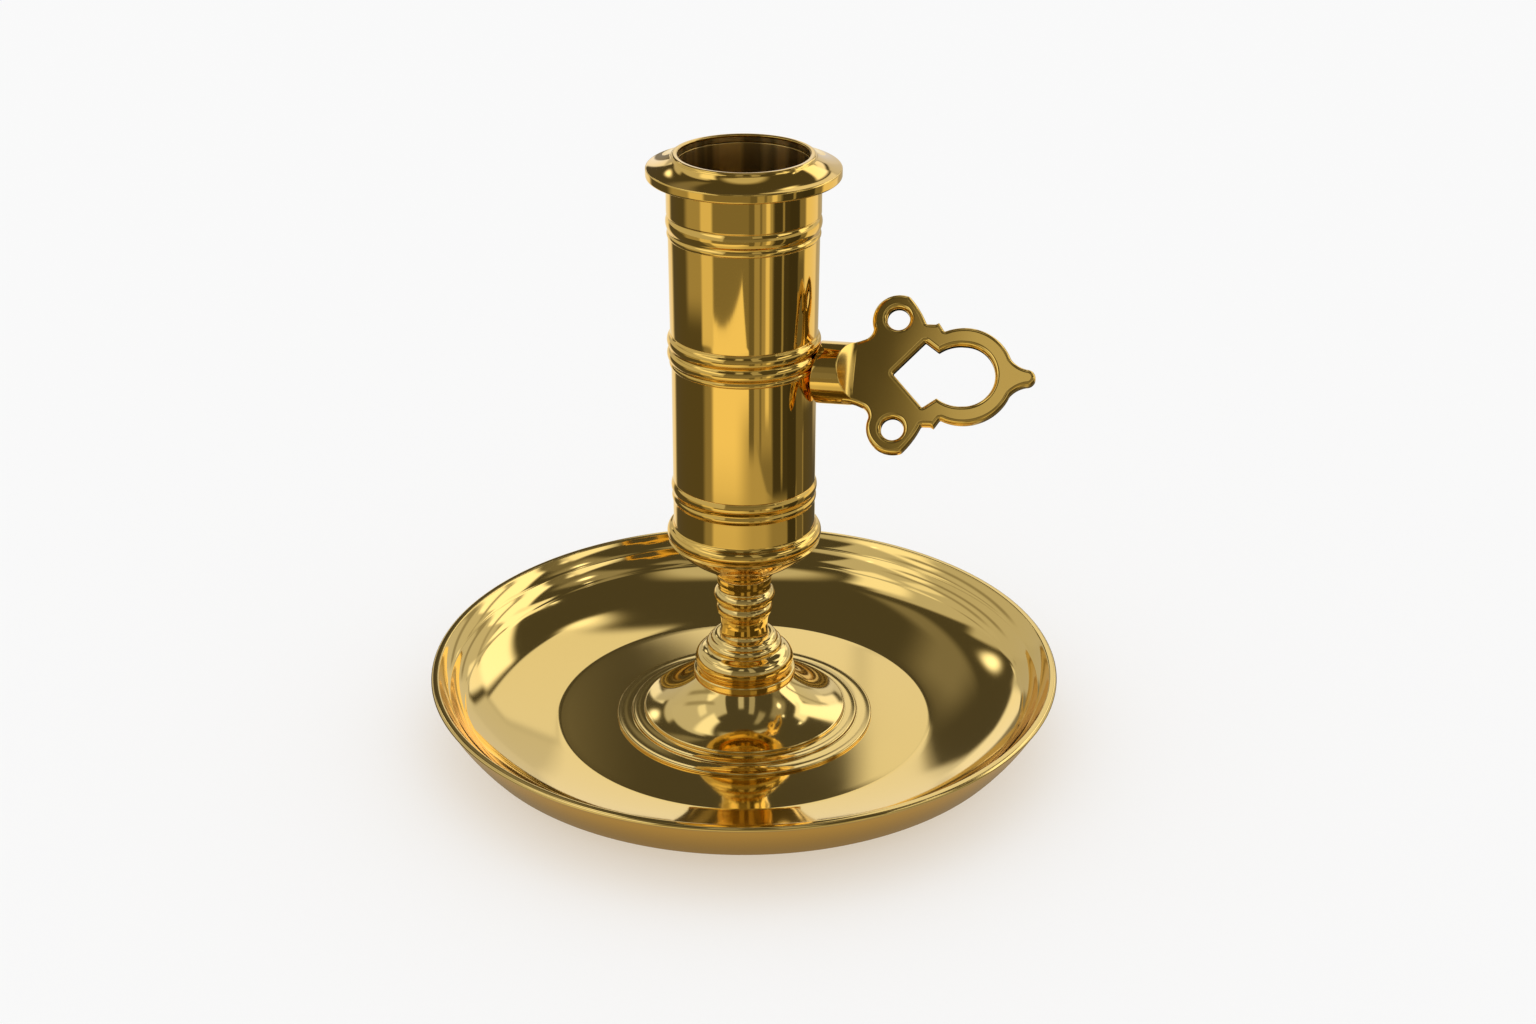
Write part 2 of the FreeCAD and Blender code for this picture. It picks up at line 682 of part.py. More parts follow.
def nozzle():
    """The top fitting: fillet, bead, collar, drip flange and the lip that covers the end of the tube."""
    inside = SPIGOT_TOP + S.fit_gap
    ledge = NOZZLE_TOP - S.lip_cap
    return turned("nozzle", [
        (inside, NOZZLE_BOTTOM),
        *shared_profile(COLLAR_SHARES, COLLAR, S.nozzle_bead_relief, NOZZLE_BOTTOM, S.flange_rise),
        *shared_profile(FLANGE_SHARES, COLLAR, S.flange_reach, FLANGE_BOTTOM, S.flange_edge),
        *shared_profile(MOUTH_SHARES, S.bore_radius, S.mouth_wall, NOZZLE_TOP, S.mouth_wall),
        (S.bore_radius, ledge),
        (inside, ledge),
    ])


# Finger loop: the body's own axes are X out along the stub, Y up in the plate, Z out of its front face

def beside(centre_x, centre_y, radius, shares):
    """A point given in shares of a radius from a centre."""
    return centre_x + radius * shares[0], centre_y + radius * shares[1]


def upper_edge():
    """Upper half of the plate's outline, from the tip back to the root, as seen from the front."""
    lobe, ring = S.lobe_radius, S.loop_radius
    lobe_foot = beside(S.lobe_reach, S.lobe_spread, lobe, LOBE_FOOT_SHARES)
    ring_start = beside(RING_CENTRE, ZERO, ring, RING_START_SHARES)
    half_chord_share = math.dist(RING_START_SHARES, RING_END_SHARES) / 2
    ring_bow = ring * (1 - math.sqrt(1 - half_chord_share ** 2))
    nib_x = lobe_foot[0] + (ring_start[0] - lobe_foot[0]) * NIB_PLACE_SHARE
    tip_x = RING_CENTRE + ring + S.tip_length - S.tip_radius
    return [
        (tip_x, S.tip_radius, S.tip_radius * QUARTER_BOW_SHARE),
        (*beside(RING_CENTRE, ZERO, ring, RING_END_SHARES), -S.tip_radius * TIP_BOW_SHARE),
        (*ring_start, ring_bow),
        (nib_x + S.nib_size * NIB_RUN_SHARE, lobe_foot[1] + S.nib_size),
        (nib_x, lobe_foot[1]),
        lobe_foot,
        (*beside(S.lobe_reach, S.lobe_spread, lobe, LOBE_CROWN_SHARES), lobe * FLANK_BOW_SHARE),
        (*beside(S.lobe_reach, S.lobe_spread, lobe, LOBE_START_SHARES), lobe * LOBE_BOW_SHARE),
        (S.lobe_reach * ROOT_FLARE_SHARES[0], S.stub_radius * ROOT_FLARE_SHARES[1], -lobe * ROOT_BOW_SHARE),
        (ZERO, S.stub_radius - S.end_gap, -lobe * NECK_BOW_SHARE),
    ]


def mirrored(upper):
    """The lower half of an outline that ends on the plate's axis: the same points, in reverse order."""
    lower = []
    bows = [corner[2] if len(corner) == 3 else ZERO for corner in upper]
    for number in range(len(upper) - 1, -1, -1):
        corner = upper[number]
        bow = bows[number + 1] if number + 1 < len(upper) else ZERO
        lower.append((corner[0], -corner[1], bow))
    return lower


def plate_sketch(body, name):
    """A sketch in the plane of the plate's back face, turned a little about its root."""
    sketch = new_sketch(body, name, "XY_Plane")
    sketch.AttachmentOffset = Placement(Vector(0, 0, 0), Rotation(Vector(0, 0, 1), S.plate_turn.value))
    bind(sketch, "AttachmentOffset.Base.x", BARREL + S.plate_root)
    bind(sketch, "AttachmentOffset.Base.y", -S.plate_drop)
    bind(sketch, "AttachmentOffset.Base.z", S.plate_front - S.plate_thickness)
    bind(sketch, "AttachmentOffset.Rotation.Angle", S.plate_turn)
    return sketch


def plate_blank():
    """The plate with its openings and the round stub, sloped down to both faces of the plate."""
    body = DOC.addObject("PartDesign::Body", "plate_blank")
    outline = plate_sketch(body, "plate_outline")
    upper = upper_edge()
    tip = (RING_CENTRE + S.loop_radius + S.tip_length, ZERO, S.tip_radius * QUARTER_BOW_SHARE)
    draw_outline(outline, [tip, *upper, *mirrored([tip, *upper])[:-1]])
    plate = body.newObject("PartDesign::Pad", "plate")
    plate.Profile = outline
    bind(plate, "Length", S.plate_thickness)

    stub_circle = new_sketch(body, "stub_circle", "YZ_Plane")
    bind(stub_circle, "AttachmentOffset.Base.z", BARREL)
    draw_circle(stub_circle, ZERO, ZERO, S.stub_radius)
    stub = body.newObject("PartDesign::Pad", "stub")
    stub.Profile = stub_circle
    bind(stub, "Length", S.stub_length)

    for name, face, side in (("front", S.plate_front, 1), ("back", S.plate_front - S.plate_thickness, -1)):
        wedge = new_sketch(body, name + "_slope_profile", "XZ_Plane")
        foot = BARREL + S.bevel_foot
        far = BARREL + S.stub_length + S.overrun
        high = (S.stub_radius + S.overrun) * side
        edge = S.stub_radius * side
        start = foot - S.bevel_run
        corners = [(foot, face), (far, face), (far, high), (start, high), (start, edge)]
        draw_outline(wedge, corners if side > 0 else corners[::-1])
        slope = body.newObject("PartDesign::Pocket", name + "_slope")
        slope.Profile = wedge
        slope.SideType = "Symmetric"
        bind(slope, "Length", (S.stub_radius + S.overrun) * 2)

    holes = plate_sketch(body, "plate_openings")
    quarter = S.loop_hole_height * QUARTER_BOW_SHARE
    flank = S.loop_hole_height * HOLE_FLANK_SHARE
    keyhole = [
        (RING_CENTRE - S.notch_inset, S.notch_spread, flank),
        (RING_CENTRE - S.diamond_inset, S.diamond_spread),
        (RING_CENTRE - S.diamond_length, ZERO),
        (RING_CENTRE - S.diamond_inset, -S.diamond_spread),
        (RING_CENTRE - S.notch_inset, -S.notch_spread),
        (RING_CENTRE, -S.loop_hole_height, flank),
        (RING_CENTRE + S.loop_hole_width, ZERO, quarter),
        (RING_CENTRE, S.loop_hole_height, quarter),
    ]
    draw_outline(holes, keyhole)
    draw_circle(holes, S.lobe_reach, S.lobe_spread, S.eyelet_radius)
    draw_circle(holes, S.lobe_reach, -S.lobe_spread, S.eyelet_radius)
    openings = body.newObject("PartDesign::Pocket", "openings")
    openings.Profile = holes
    openings.Type = "ThroughAll"
    openings.SideType = "Symmetric"
    body.Tip = openings

    body.Placement = Placement(Vector(0, 0, 0), Rotation(Vector(1, 0, 0), 90 - S.plate_lean.value))
    body.setExpression("Placement.Rotation.Angle", f"90 - {S.plate_lean.text}")
    bind(body, "Placement.Base.z", HANDLE)
    return body


def cylinder(name, radius, height, x=None, z=None, sideways=False):
    """A cylinder on the candle's axis, or with its axis sideways along X."""
    solid = DOC.addObject("Part::Cylinder", name)
    bind(solid, "Radius", radius)
    bind(solid, "Height", height)
    if sideways:
        solid.Placement = Placement(Vector(0, 0, 0), Rotation(Vector(0, 1, 0), 90))
    if x:
        bind(solid, "Placement.Base.x", x)
    if z:
        bind(solid, "Placement.Base.z", z)
    return solid


def boolean(kind, name, base, tool):
    """A Part boolean of two objects."""
    result = DOC.addObject(kind, name)
    result.Base = base
    result.Tool = tool
    return result


def finger_plate():
    """The finger loop: the blank, cut to seat on the band, with a tenon to the tube and a screw hole."""
    blank = plate_blank()
    screw_height = HANDLE - S.screw_drop
    seat_height = S.stub_radius * 4
    seat_bottom = HANDLE - S.stub_radius * 2
    band_clear = cylinder("band_clear", BAND + S.stub_seat_gap, seat_height, z=seat_bottom)
    seated = boolean("Part::Cut", "seated_blank", blank, band_clear)
    tenon_length = S.tube_wall + S.bevel_foot - S.bevel_run
    tenon = cylinder("tenon", S.tenon_radius, tenon_length, x=S.bore_radius, z=screw_height, sideways=True)
    joined = boolean("Part::Fuse", "joined_blank", seated, tenon)
    tube_clear = cylinder("tube_clear", BARREL + S.fit_gap, seat_height, z=seat_bottom)
    fitted = boolean("Part::Cut", "fitted_blank", joined, tube_clear)
    hole_start = S.bore_radius
    hole_end = S.bore_radius + S.screw_sink + S.screw_head_height + S.screw_length + S.end_gap
    hole = cylinder("stub_screw_hole", S.screw_radius + S.thread_gap, hole_end - hole_start,
                    x=hole_start, z=screw_height, sideways=True)
    plate = boolean("Part::Cut", "finger_plate", fitted, hole)
    plate.Label = "finger_plate"
    return plate


def handle_screw():
    """Countersunk screw from the bore into the stub, with a slot across its head."""
    body = DOC.addObject("PartDesign::Body", "handle_screw")
    body.Label = "handle_screw"
    head = S.bore_radius + S.screw_sink
    cone_end = head + S.screw_head_height
    sketch = new_sketch(body, "handle_screw_profile", "XZ_Plane")
    bind(sketch, "AttachmentOffset.Base.y", HANDLE - S.screw_drop)
    draw_outline(sketch, [
        (head, ZERO),
        (cone_end + S.screw_length, ZERO),
        (cone_end + S.screw_length, S.screw_radius),
        (cone_end, S.screw_radius),
        (head, S.screw_head_radius),
    ])
    turning = body.newObject("PartDesign::Revolution", "handle_screw_turning")
    turning.Profile = sketch
    turning.ReferenceAxis = (sketch, ["H_Axis"])
    turning.Angle = 360
    slot_sketch = new_sketch(body, "handle_screw_slot_profile", "XZ_Plane")
    bind(slot_sketch, "AttachmentOffset.Base.y", HANDLE - S.screw_drop)
    half_slot = S.screw_slot_width / 2
    draw_outline(slot_sketch, [
        (head - S.overrun, -half_slot),
        (head + S.screw_slot_depth, -half_slot),
        (head + S.screw_slot_depth, half_slot),
        (head - S.overrun, half_slot),
    ])
    slot = body.newObject("PartDesign::Pocket", "handle_screw_slot")
    slot.Profile = slot_sketch
    slot.SideType = "Symmetric"
    bind(slot, "Length", (S.screw_head_radius + S.overrun) * 2)
    body.Tip = slot
    return body


def checked(objects):
    """Stop if any object of the document failed, or if a sub-part has no valid solid."""
    for thing in DOC.Objects:
        if "Invalid" in thing.State or "Error" in thing.State:
            raise RuntimeError(f"{thing.Name} failed: {thing.State}")
    for thing in objects:
        shape = thing.Shape
        if shape.isNull() or not shape.isValid() or not shape.Solids:
            raise RuntimeError(f"{thing.Label} has no valid solid")
    return objects


def main():
    """Build every sub-part, check it and write it."""
    pieces = [
        drip_pan(),
        tie_washer(),
        tie_nut(),
        tie_rod(),
        foot_dome(),
        foot_ring(),
        knop(),
        stem_neck(),
        socket_base(),
        barrel_tube(),
        middle_band(),
        nozzle(),
        finger_plate(),
        handle_screw(),
    ]
    DOC.recompute()
    checked(pieces)
    os.makedirs("parts", exist_ok=True)
    for piece in pieces:
        piece.Shape.exportStep(f"parts/{piece.Label}.step")
        print(f"{piece.Label}: {piece.Shape.Volume:.1f} mm3, {len(piece.Shape.Solids)} solid")


main()
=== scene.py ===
"""Looks of a polished brass chamberstick with a finger loop.

Sizes are in millimetres in the row frame: the origin is the centre of the face that the pan
stands on, +Z runs up along the candle and +X points to the finger loop. They become metres
when a mesh is made.
"""

import logging
import math
from collections.abc import Callable
from dataclasses import dataclass, field
from enum import Enum

import bpy
import numpy as np
from mathutils import Matrix, Vector
from mathutils.geometry import delaunay_2d_cdt


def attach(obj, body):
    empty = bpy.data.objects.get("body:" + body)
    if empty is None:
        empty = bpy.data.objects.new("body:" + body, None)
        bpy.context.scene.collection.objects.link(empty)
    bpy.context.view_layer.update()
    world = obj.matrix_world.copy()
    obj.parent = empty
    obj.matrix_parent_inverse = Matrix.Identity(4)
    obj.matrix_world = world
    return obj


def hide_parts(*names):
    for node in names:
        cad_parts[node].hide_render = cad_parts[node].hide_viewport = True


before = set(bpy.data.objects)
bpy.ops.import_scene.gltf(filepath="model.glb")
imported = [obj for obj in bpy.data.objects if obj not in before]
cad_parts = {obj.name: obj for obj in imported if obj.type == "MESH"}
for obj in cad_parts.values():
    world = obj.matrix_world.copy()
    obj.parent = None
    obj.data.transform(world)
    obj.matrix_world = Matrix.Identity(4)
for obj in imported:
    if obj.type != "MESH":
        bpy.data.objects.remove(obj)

LOG = logging.getLogger("chamberstick")
MM = 0.001
# A quarter circle stands off its chord by this share of its radius
QUARTER_BOW = 1 - math.sqrt(0.5)
# Radius of the tie rod's hole in the pieces that it passes
ROD_HOLE = 2.7
# Radius of the spigots and of their seats at both ends of the neck
SPIGOT, SPIGOT_SEAT = 3.6, 3.65

Stroke = tuple[float, ...]
Points = np.ndarray


class Form(Enum):
    """How a turned profile closes."""

    RING = "the profile is a loop round a hole"
    SOLID = "the profile starts and ends on the axis"


class Polish(Enum):
    """The finishes of the brass."""

    MIRROR = "brass_mirror"
    SPUN = "brass_spun"
    TURNED = "brass_turned"
    SATIN = "brass_satin"
    CAST = "brass_cast"
    BORE = "brass_bore"
    PLAIN = "brass_plain"


# Curves

def stroke_points(start: Points, end: Points, bow: float, pace: float) -> Points:
    """Points on the circular arc between two points that stands off its chord by a bow.

    With chord c and bow b the radius is c * c / (8 * b) + b / 2. A point at angle a from the
    arc's middle lies radius * sin(a) along the chord from its middle and radius * cos(a) less
    (radius - b) off it, to the right of the way from start to end.

    Args:
        start: first point, left out of the result.
        end: last point, kept in the result.
        bow: how far the arc stands off; 0 is straight, below 0 is to the left.
        pace: largest distance between points.

    Returns:
        An array of points, one per row.
    """
    chord = end - start
    length = float(np.hypot(*chord))
    along = chord / length
    right = np.array([along[1], -along[0]])
    if abs(bow) < 1e-9:
        count = max(1, math.ceil(length / pace))
        share = np.arange(1, count + 1)[:, None] / count
        return start + share * chord
    radius = length * length / (8 * abs(bow)) + abs(bow) / 2
    half = math.asin(min(1.0, length / (2 * radius)))
    if abs(bow) > length / 2:
        half = math.pi - half
    count = max(4, math.ceil(2 * half * radius / pace))
    angle = np.linspace(-half, half, count + 1)[1:, None]
    off = radius * np.cos(angle) - (radius - abs(bow))
    return start + along * (radius * np.sin(angle) + length / 2) + right * off * math.copysign(1, bow)


def drawn(strokes: list[Stroke], closed: bool, pace: float = 0.03) -> Points:
    """A line through strokes of (x, y) or (x, y, bow), where bow belongs to the way to the point.

    Args:
        strokes: the points in order; the material lies to the left of the way.
        closed: whether the last point joins the first.
        pace: largest distance between points.

    Returns:
        An array of points, one per row; a closed line doesn't repeat its first point.
    """
    ends = [np.array(stroke[:2], float) for stroke in strokes]
    bows = [stroke[2] if len(stroke) > 2 else 0.0 for stroke in strokes]
    parts = [] if closed else [ends[0][None]]
    first = 0 if closed else 1
    for number in range(first, len(ends)):
        parts.append(stroke_points(ends[number - 1], ends[number], bows[number], pace))
    return np.concatenate(parts)


def rounded(line: Points, closed: bool, blur: float, pace: float = 0.02) -> Points:
    """The line with its corners rounded, by a running mean weighted with a bell curve.

    The line is cut into equal steps first. An open line is carried on past both of its ends,
    turned round them, so that the ends stay where they are.

    Args:
        line: the points in order.
        closed: whether the line is a loop.
        blur: spread of the bell curve, about the radius that a square corner gets.
        pace: step along the line.

    Returns:
        The rounded line.
    """
    loop = np.vstack([line, line[:1]]) if closed else line
    run = np.concatenate([[0.0], np.cumsum(np.hypot(*np.diff(loop, axis=0).T))])
    count = max(8, round(run[-1] / pace))
    at = np.arange(count if closed else count + 1) * run[-1] / count
    even = np.column_stack([np.interp(at, run, loop[:, 0]), np.interp(at, run, loop[:, 1])])
    reach = math.ceil(4 * blur / pace)
    weight = np.exp(-0.5 * (np.arange(-reach, reach + 1) * pace / blur) ** 2)
    weight /= weight.sum()
    if closed:
        padded = np.vstack([even[-reach:], even, even[:reach]])
    else:
        before = 2 * even[0] - even[reach:0:-1]
        after = 2 * even[-1] - even[-2 : -reach - 2 : -1]
        padded = np.vstack([before, even, after])
    return np.column_stack([np.convolve(padded[:, axis], weight, "valid") for axis in (0, 1)])


def thinned(line: Points, closed: bool, count: int, bend_share: float = 0.6) -> Points:
    """The line with fewer points, close together where it bends.

    Each step counts for its share of the length and for its share of all the turning, and the
    kept points stand at equal steps of that sum.

    Args:
        line: the points in order.
        closed: whether the line is a loop.
        count: points to keep.
        bend_share: how much the turning counts against the length.

    Returns:
        The kept points.
    """
    loop = np.vstack([line, line[:1]]) if closed else line
    step = np.diff(loop, axis=0)
    length = np.hypot(*step.T)
    heading = np.unwrap(np.arctan2(step[:, 1], step[:, 0]))
    turning = np.abs(np.gradient(heading))
    kernel = np.ones(9) / 9
    turning = np.convolve(turning, kernel, "same")
    worth = length / length.sum() * (1 - bend_share) + turning / turning.sum() * bend_share
    total = np.concatenate([[0.0], np.cumsum(worth)])
    at = np.linspace(0, total[-1], count + 1)
    at = at[:-1] if closed else at
    return np.column_stack([np.interp(at, total, loop[:, 0]), np.interp(at, total, loop[:, 1])])


# Meshes

def mesh_of(name: str, points: Points, faces: list[Points]) -> bpy.types.Object:
    """An object at the origin from arrays of points and faces.

    Args:
        name: name of the object.
        points: corners in millimetres, one per row.
        faces: arrays of corner numbers, each with one face per row.

    Returns:
        The object, smooth shaded and linked to the scene.
    """
    mesh = bpy.data.meshes.new(name)
    mesh.vertices.add(len(points))
    mesh.vertices.foreach_set("co", (points * MM).astype(np.float32).ravel())
    corners = np.concatenate([block.ravel() for block in faces])
    sides = np.concatenate([np.full(len(block), block.shape[1]) for block in faces])
    mesh.loops.add(len(corners))
    mesh.loops.foreach_set("vertex_index", corners.astype(np.int32))
    mesh.polygons.add(len(sides))
    starts = np.concatenate([[0], np.cumsum(sides)[:-1]])
    mesh.polygons.foreach_set("loop_start", starts.astype(np.int32))
    mesh.polygons.foreach_set("use_smooth", np.ones(len(sides), bool))
    mesh.update(calc_edges=True)
    mesh.validate()
    piece = bpy.data.objects.new(name, mesh)
    bpy.context.scene.collection.objects.link(piece)
    return piece


def grid_faces(rows: int, columns: int, rows_wrap: bool, columns_wrap: bool = True) -> Points:
    """Four-cornered faces of a grid of points numbered row by row.

    Args:
        rows: number of rows.
        columns: points in each row.
        rows_wrap: whether the last row joins the first.
        columns_wrap: whether the last column joins the first.

    Returns:
        An array with one face per row, wound from column to column and then from row to row.
    """
    row = np.arange(rows if rows_wrap else rows - 1)[:, None]
    column = np.arange(columns if columns_wrap else columns - 1)[None, :]
    next_row = (row + 1) % rows
    next_column = (column + 1) % columns
    quads = [row * columns + column, row * columns + next_column,
             next_row * columns + next_column, next_row * columns + column]
    return np.stack([np.broadcast_to(quad, (row.size, column.size)) for quad in quads], -1).reshape(-1, 4)


def capped_faces(rows: int, columns: int) -> list[Points]:
    """Faces of a grid round an axis whose first and last row are each closed by a fan to one point.

    Args:
        rows: number of rows.
        columns: points in each row.

    Returns:
        The grid's faces and both fans, whose points come after the grid's, the first row's first.
    """
    around = np.arange(columns)
    after = (around + 1) % columns
    near = rows * columns
    last = near - columns
    first_fan = np.column_stack([np.full(columns, near), after, around])
    last_fan = np.column_stack([around + last, after + last, np.full(columns, near + 1)])
    return [grid_faces(rows, columns, rows_wrap=False), first_fan, last_fan]


def loop_steps(loops: list[Points]) -> list[tuple[Points, Points]]:
    """The numbers of each closed line's points, and of the points after them.

    Args:
        loops: the closed lines, whose points are numbered on from one line to the next.

    Returns:
        A pair of number arrays for each line.
    """
    starts = np.cumsum([0, *map(len, loops)])
    numbers = [np.arange(len(line)) + start for line, start in zip(loops, starts)]
    return [(number, np.roll(number, -1)) for number in numbers]


@dataclass(frozen=True)
class Turned:
    """A turned piece: a profile of radius and height carried round the candle's axis."""

    node: str
    slot: str
    strokes: list[Stroke]
    form: Form = Form.RING
    blur: float = 0.09
    stations: int = 200
    sides: int = 320

    def profile(self) -> Points:
        """The profile, its corners rounded and its points close together in the bends."""
        closed = self.form is Form.RING
        line = rounded(drawn(self.strokes, closed), closed, self.blur)
        return thinned(line, closed, self.stations)

    def build(self) -> bpy.types.Object:
        """The mesh: a point of radius r and height z goes to (r * cos(a), r * sin(a), z) for each angle a.

        Returns:
            The piece, which stands for its CAD node.
        """
        line = self.profile()
        angle = np.arange(self.sides) * 2 * math.pi / self.sides
        if self.form is Form.RING:
            points = lathe_points(line, angle)
            faces = [grid_faces(len(line), self.sides, rows_wrap=True)]
        else:
            middle = line[1:-1]
            points = np.vstack([lathe_points(middle, angle), [[0, 0, line[0, 1]], [0, 0, line[-1, 1]]]])
            faces = capped_faces(len(middle), self.sides)
        return stood_for(mesh_of(self.node + "_turned", points, faces), self.node)


def lathe_points(line: Points, angle: Points) -> Points:
    """Points (r * cos(a), r * sin(a), z) for each row (r, z) of the line and each angle a.

    Args:
        line: radius and height, one pair per row.
        angle: the angles.

    Returns:
        The points, one per row, all angles of the first row first.
    """
    radius = line[:, :1]
    height = np.broadcast_to(line[:, 1:], (len(line), len(angle)))
    return np.stack([radius * np.cos(angle), radius * np.sin(angle), height], -1).reshape(-1, 3)


def stood_for(piece: bpy.types.Object, node: str) -> bpy.types.Object:
    """The piece, riding on the object's body and shown in place of a CAD node.

    Args:
        piece: the finished piece.
        node: CAD node that it stands for.

    Returns:
        The same piece.
    """
    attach(piece, "root")
    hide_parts(node)
    return piece


# Finishes

def new_node(nodes: bpy.types.Nodes, kind: str, **values: float | tuple[float, ...]) -> bpy.types.Node:
    """A shader node with some of its inputs set.

    Args:
        nodes: nodes of the material.
        kind: the node's type, without its leading ShaderNode.
        values: values of inputs by name, with an underscore for each space.

    Returns:
        The new node.
    """
    node = nodes.new("ShaderNode" + kind)
    for name, value in values.items():
        node.inputs[name.replace("_", " ")].default_value = value
    return node


def face_values(piece: bpy.types.Object, kind: str) -> Points:
    """The center or normal of each face of a piece, one per row.

    Args:
        piece: the piece.
        kind: the property's name.

    Returns:
        An array with three numbers per row.
    """
    values = np.empty(len(piece.data.polygons) * 3, np.float32)
    piece.data.polygons.foreach_get(kind, values)
    return values.reshape(-1, 3)


@dataclass(frozen=True)
class Brass:
    """One finish of the brass: its colour, how rough it is, and how wavy hand polishing left it."""

    polish: Polish
    colour: tuple[float, float, float] = (0.86, 0.55, 0.12)
    roughness: float = 0.035
    unevenness: float = 0.02
    wave_height: float = 0.0
    wave_size: float = 9.0
    streaks: float = 0.0
    patch_scale: float = 60.0
    patch_tones: tuple[float, float] = (0.3, 0.7)
    streak_scale: float = 260.0
    streak_stretch: float = 0.02
    streak_tones: tuple[float, float] = (0.42, 0.58)

    def build(self) -> bpy.types.Material:
        """The material: metal whose roughness and, if wavy, whose slope change slowly over the surface.

        Returns:
            The material, named after its polish.
        """
        material = bpy.data.materials.new(self.polish.value)
        material.use_nodes = True
        nodes, links = material.node_tree.nodes, material.node_tree.links
        shader = nodes["Principled BSDF"]
        shader.inputs["Base Color"].default_value = (*self.colour, 1)
        shader.inputs["Metallic"].default_value = 1.0
        shader.inputs["Roughness"].default_value = self.roughness
        place = new_node(nodes, "TexCoord")
        if self.unevenness:
            low, high = self.patch_tones
            patches = new_node(nodes, "TexNoise", Scale=self.patch_scale, Detail=3.0)
            spread = new_node(nodes, "MapRange", From_Min=low, From_Max=high, To_Min=self.roughness,
                              To_Max=self.roughness + self.unevenness)
            links.new(place.outputs["Object"], patches.inputs["Vector"])
            links.new(patches.outputs["Fac"], spread.inputs["Value"])
            links.new(spread.outputs["Result"], shader.inputs["Roughness"])
        if self.streaks:
            low, high = self.streak_tones
            along = new_node(nodes, "Mapping", Scale=(1, 1, self.streak_stretch))
            lines = new_node(nodes, "TexNoise", Scale=self.streak_scale, Detail=2.0)
            tone = new_node(nodes, "Mix")
            tone.data_type = "RGBA"
            tone.inputs["A"].default_value = (*[part * (1 - self.streaks) for part in self.colour], 1)
            tone.inputs["B"].default_value = (*self.colour, 1)
            pick = new_node(nodes, "MapRange", From_Min=low, From_Max=high)
            links.new(place.outputs["Object"], along.inputs["Vector"])
            links.new(along.outputs["Vector"], lines.inputs["Vector"])
            links.new(lines.outputs["Fac"], pick.inputs["Value"])
            links.new(pick.outputs["Result"], tone.inputs["Factor"])
            links.new(tone.outputs["Result"], shader.inputs["Base Color"])
        if self.wave_height:
            waves = new_node(nodes, "TexNoise", Scale=1 / (self.wave_size * MM), Detail=0.0)
            bump = new_node(nodes, "Bump", Distance=self.wave_height * MM, Strength=1.0)
            links.new(place.outputs["Object"], waves.inputs["Vector"])
            links.new(waves.outputs["Fac"], bump.inputs["Height"])
            links.new(bump.outputs["Normal"], shader.inputs["Normal"])
        return material


@dataclass
class Finishes:
    """The finishes in use, made once each."""

    kinds: tuple[Brass, ...] = (
        Brass(Polish.MIRROR),
        Brass(Polish.SPUN, roughness=0.045, colour=(0.86, 0.6, 0.18)),
        Brass(Polish.TURNED, roughness=0.065, colour=(0.89, 0.63, 0.2)),
        Brass(Polish.SATIN, roughness=0.22, colour=(0.82, 0.47, 0.1)),
        Brass(Polish.CAST, roughness=0.06, wave_height=0.03, wave_size=11.0),
        # The bore's colour is lighter than the other finishes so that the deep bore comes out brighter:
        # painted light in the bore. Its streaks darken that colour in long bands of noise along the bore.
        Brass(Polish.BORE, roughness=0.34, colour=(0.92, 0.66, 0.24), streaks=0.6),
        Brass(Polish.PLAIN, roughness=0.3, colour=(0.75, 0.52, 0.2)),
    )
    made: dict[Polish, bpy.types.Material] = field(default_factory=dict)

    def material(self, polish: Polish) -> bpy.types.Material:
        """The material of a finish, made when it is first asked for."""
        if polish not in self.made:
            self.made[polish] = next(kind for kind in self.kinds if kind.polish is polish).build()
        return self.made[polish]

    def dress(self, piece: bpy.types.Object, polish: Polish) -> None:
        """Give a piece one finish, and each of its faces that belongs to a second finish that one.

        Args:
            piece: the piece or CAD node.
            polish: the finish.
        """
        second = SECOND_POLISH.get(piece.name)
        piece.data.materials.clear()
        piece.data.materials.append(self.material(polish))
        if second:
            other, chosen = second
            piece.data.materials.append(self.material(other))
            middle = face_values(piece, "center") / MM
            facing = face_values(piece, "normal")
            picked = chosen(np.hypot(middle[:, 0], middle[:, 1]), middle[:, 2], facing[:, 2])
            piece.data.polygons.foreach_set("material_index", picked.astype(np.int32))


# Faces belong to the bore inside this radius and between these heights, if they look sideways
BORE_RADIUS, BORE_LOW, BORE_HIGH, SIDEWAYS = 11.3, 43.0, 109.2, 0.5
# Faces belong to the pan's satin side below this height, if they look down at least this much
SATIN_TOP, DOWNWARD = 12.6, -0.05


def in_bore(radius: Points, height: Points, facing: Points) -> Points:
    """Whether each face belongs to the bore's wall: it looks sideways, below the rounded mouth."""
    level = (height > BORE_LOW) & (height < BORE_HIGH)
    return (radius < BORE_RADIUS) & level & (np.abs(facing) < SIDEWAYS)


def under_pan(radius: Points, height: Points, facing: Points) -> Points:
    """Whether each face belongs to the pan's underside or outer wall: it looks down."""
    return (facing < DOWNWARD) & (height < SATIN_TOP)


SECOND_POLISH: dict[str, tuple[Polish, Callable[[Points, Points, Points], Points]]] = {
    "barrel_tube_turned": (Polish.BORE, in_bore),
    "nozzle_turned": (Polish.BORE, in_bore),
    "socket_base_turned": (Polish.BORE, in_bore),
    "drip_pan_turned": (Polish.SATIN, under_pan),
}


# Drip pan and stem

